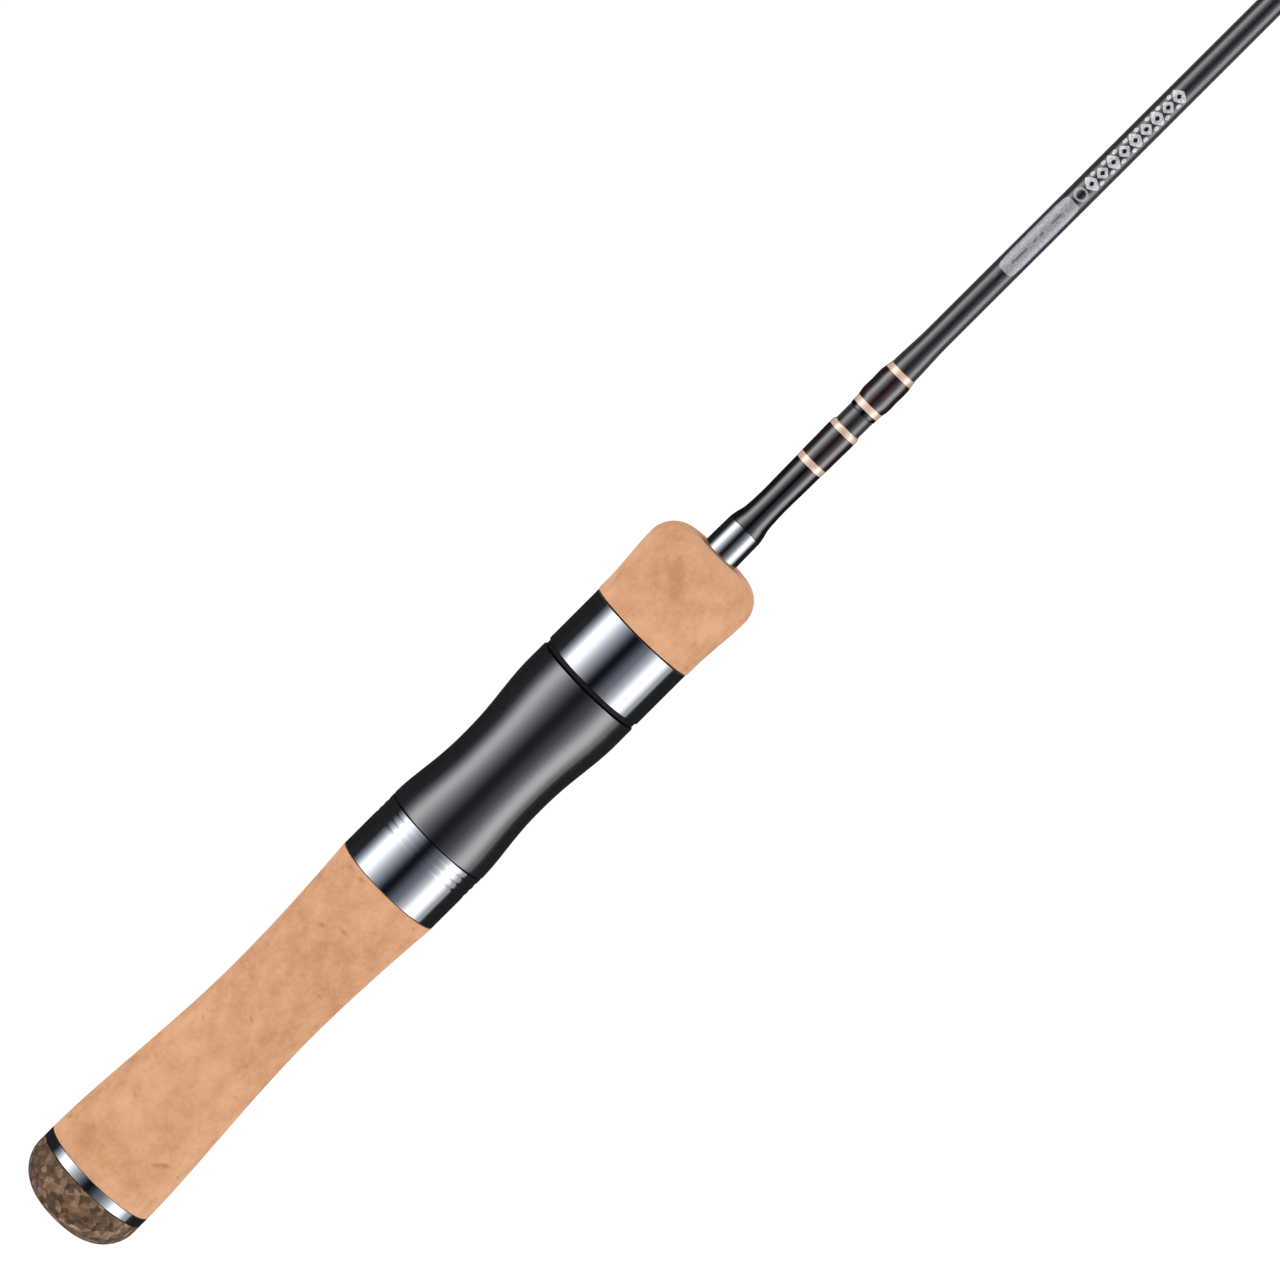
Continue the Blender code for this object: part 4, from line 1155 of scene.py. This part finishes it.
def binding(start, end, over_foot, thickness=0.24):
    """Thread and epoxy round the blank and the foot: a lens along the rod, with a ridge over the foot."""
    x = np.linspace(start, end, 60)
    share = (x - start) / (end - start)
    lens = np.clip(np.sin(share * math.pi), 0, 1) ** 0.35
    segments = 72
    a = round_angles(segments)
    from_foot = a - math.pi
    ridge = over_foot * np.exp(-(from_foot / 0.5) ** 2)
    base = tip_radius(x)
    r = base[:, None] + lens[:, None] * (thickness + ridge[None] * np.clip(share * 2.5, 0, 1)[:, None]) - 0.01
    points = np.stack([np.repeat(x[:, None], segments, axis=1), -r * np.sin(a), r * np.cos(a)], axis=-1)
    back = [-1, 0]
    inside = base[back, None] * 0.9
    bore = np.stack([np.repeat(x[back, None], segments, axis=1), -inside * np.sin(a), inside * np.cos(a)],
                    axis=-1)
    return np.concatenate([points, bore]), True, True


# %% Five guides from the frame's boxes
HOOP_WALL = 0.72
HOOP_WIDTH = 1.35
RING_WIDTH = 1.9
LEG_INSET = 0.35        # from the hoop's outside to the middle of a leg
FOOT_LENGTH = 8.0
TRIM_LENGTH = 0.9


def ring_place(ring, holder):
    """A ring's centre x and z and its outer radius, its hoop's outer radius, and the holder's two corners."""
    ring_low, ring_high = (np.array(corner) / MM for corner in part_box(ring))
    low, high = (np.array(corner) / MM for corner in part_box(holder))
    centre = (ring_low + ring_high) / 2
    return centre[0], centre[2], (ring_high[2] - ring_low[2]) / 2, (high[1] - low[1]) / 2, low, high


def landing(centre_x, centre_z, reach, side, angle_deg):
    """Where a leg meets the hoop: at an angle from the hoop's top, on one side."""
    a = math.radians(angle_deg)
    return centre_x, side * reach * math.sin(a), centre_z + reach * math.cos(a)


def make_guide(number):
    holder = f"guide_frame_{number}"
    ring = f"guide_ring_{number}"
    winding = f"guide_winding_{number}"
    centre_x, centre_z, ring_outer, hoop_outer, low, _ = ring_place(ring, holder)
    wind_start, wind_end = span(winding)
    rear = low[0]
    heel = rear + FOOT_LENGTH
    surface = float(tip_radius(rear)) + 0.02
    grip = hoop_outer - LEG_INSET
    shells = [hoop(centre_x, centre_z, hoop_outer, hoop_outer - HOOP_WALL, HOOP_WIDTH, 0.3),
              foot(rear, heel + 0.8, surface, 1.25, 0.45)]
    for side in (-1, 1):
        shells.append(leg((heel - 0.6, side * 0.28, -(surface + 0.3)),
                          (heel + (centre_x - heel) * 0.5, side * 0.5, -(surface + 0.35)),
                          (centre_x - 0.9, side * grip * 0.75, centre_z + grip * 0.75),
                          landing(centre_x, centre_z, grip, side, 62), 0.42))
    finished(f"guide_{number}_steel", shells, guide_steel, "tip_section", [holder])
    ceramic_ring = hoop(centre_x, centre_z, ring_outer, ring_outer - 1.1, RING_WIDTH, 0.5)
    finished(f"guide_{number}_ring", [ceramic_ring], ceramic, "tip_section", [ring])
    finished(f"guide_{number}_binding", [binding(wind_start, wind_end, 0.5)], maroon_thread, "tip_section",
             [winding])
    make_band(f"guide_{number}_trim_rear", wind_start - TRIM_LENGTH, wind_start + 0.2,
              lambda x: tip_radius(x) + 0.14, float(tip_radius(wind_start)) - 0.2, copper_thread,
              "tip_section")


for number in range(1, 6):
    make_guide(number)


# %% The tip-top
def make_tip_top():
    """A tube over the blank's end, closed in front, with two legs down to a hoop and its ring."""
    centre_x, centre_z, ring_outer, hoop_outer, low, high = ring_place("tip_top_ring", "tip_top_frame")
    wind_start, wind_end = span("tip_winding")
    tube_radius = high[2]
    tube_start = low[0]
    tube_end = tip_end + 1.0
    bore = float(tip_radius(tube_start)) + 0.02
    tube = rounded([(tube_start, bore, 0), (tube_start, tube_radius, 0.1), (tube_end, tube_radius, 0.5),
                    (tube_end, 0, 0)], step=0.6, closed=False)
    inner = np.array([(tube_end - 0.7, 0), (tube_end - 0.7, bore)])
    shells = [turned(np.vstack([tube, inner]), 48),
              hoop(centre_x, centre_z, hoop_outer, hoop_outer - HOOP_WALL, HOOP_WIDTH, 0.3, 56)]
    grip = hoop_outer - LEG_INSET
    for side in (-1, 1):
        shells.append(leg((tube_end - 3.2, side * (tube_radius - 0.1), -0.2),
                          (tube_end - 0.5, side * (tube_radius + 0.2), -0.4),
                          (centre_x - 0.8, side * grip, centre_z + grip * 0.9),
                          landing(centre_x, centre_z, grip, side, 58), 0.4))
    finished("tip_top_steel", shells, guide_steel, "tip_section", ["tip_top_frame"])
    finished("tip_top_ring_ceramic",
             [hoop(centre_x, centre_z, ring_outer, ring_outer - 0.88, RING_WIDTH, 0.4, 56)],
             ceramic, "tip_section", ["tip_top_ring"])
    finished("tip_top_binding", [binding(wind_start, wind_end + 0.6, 0.0, 0.3)], maroon_thread,
             "tip_section", ["tip_winding"])


make_tip_top()
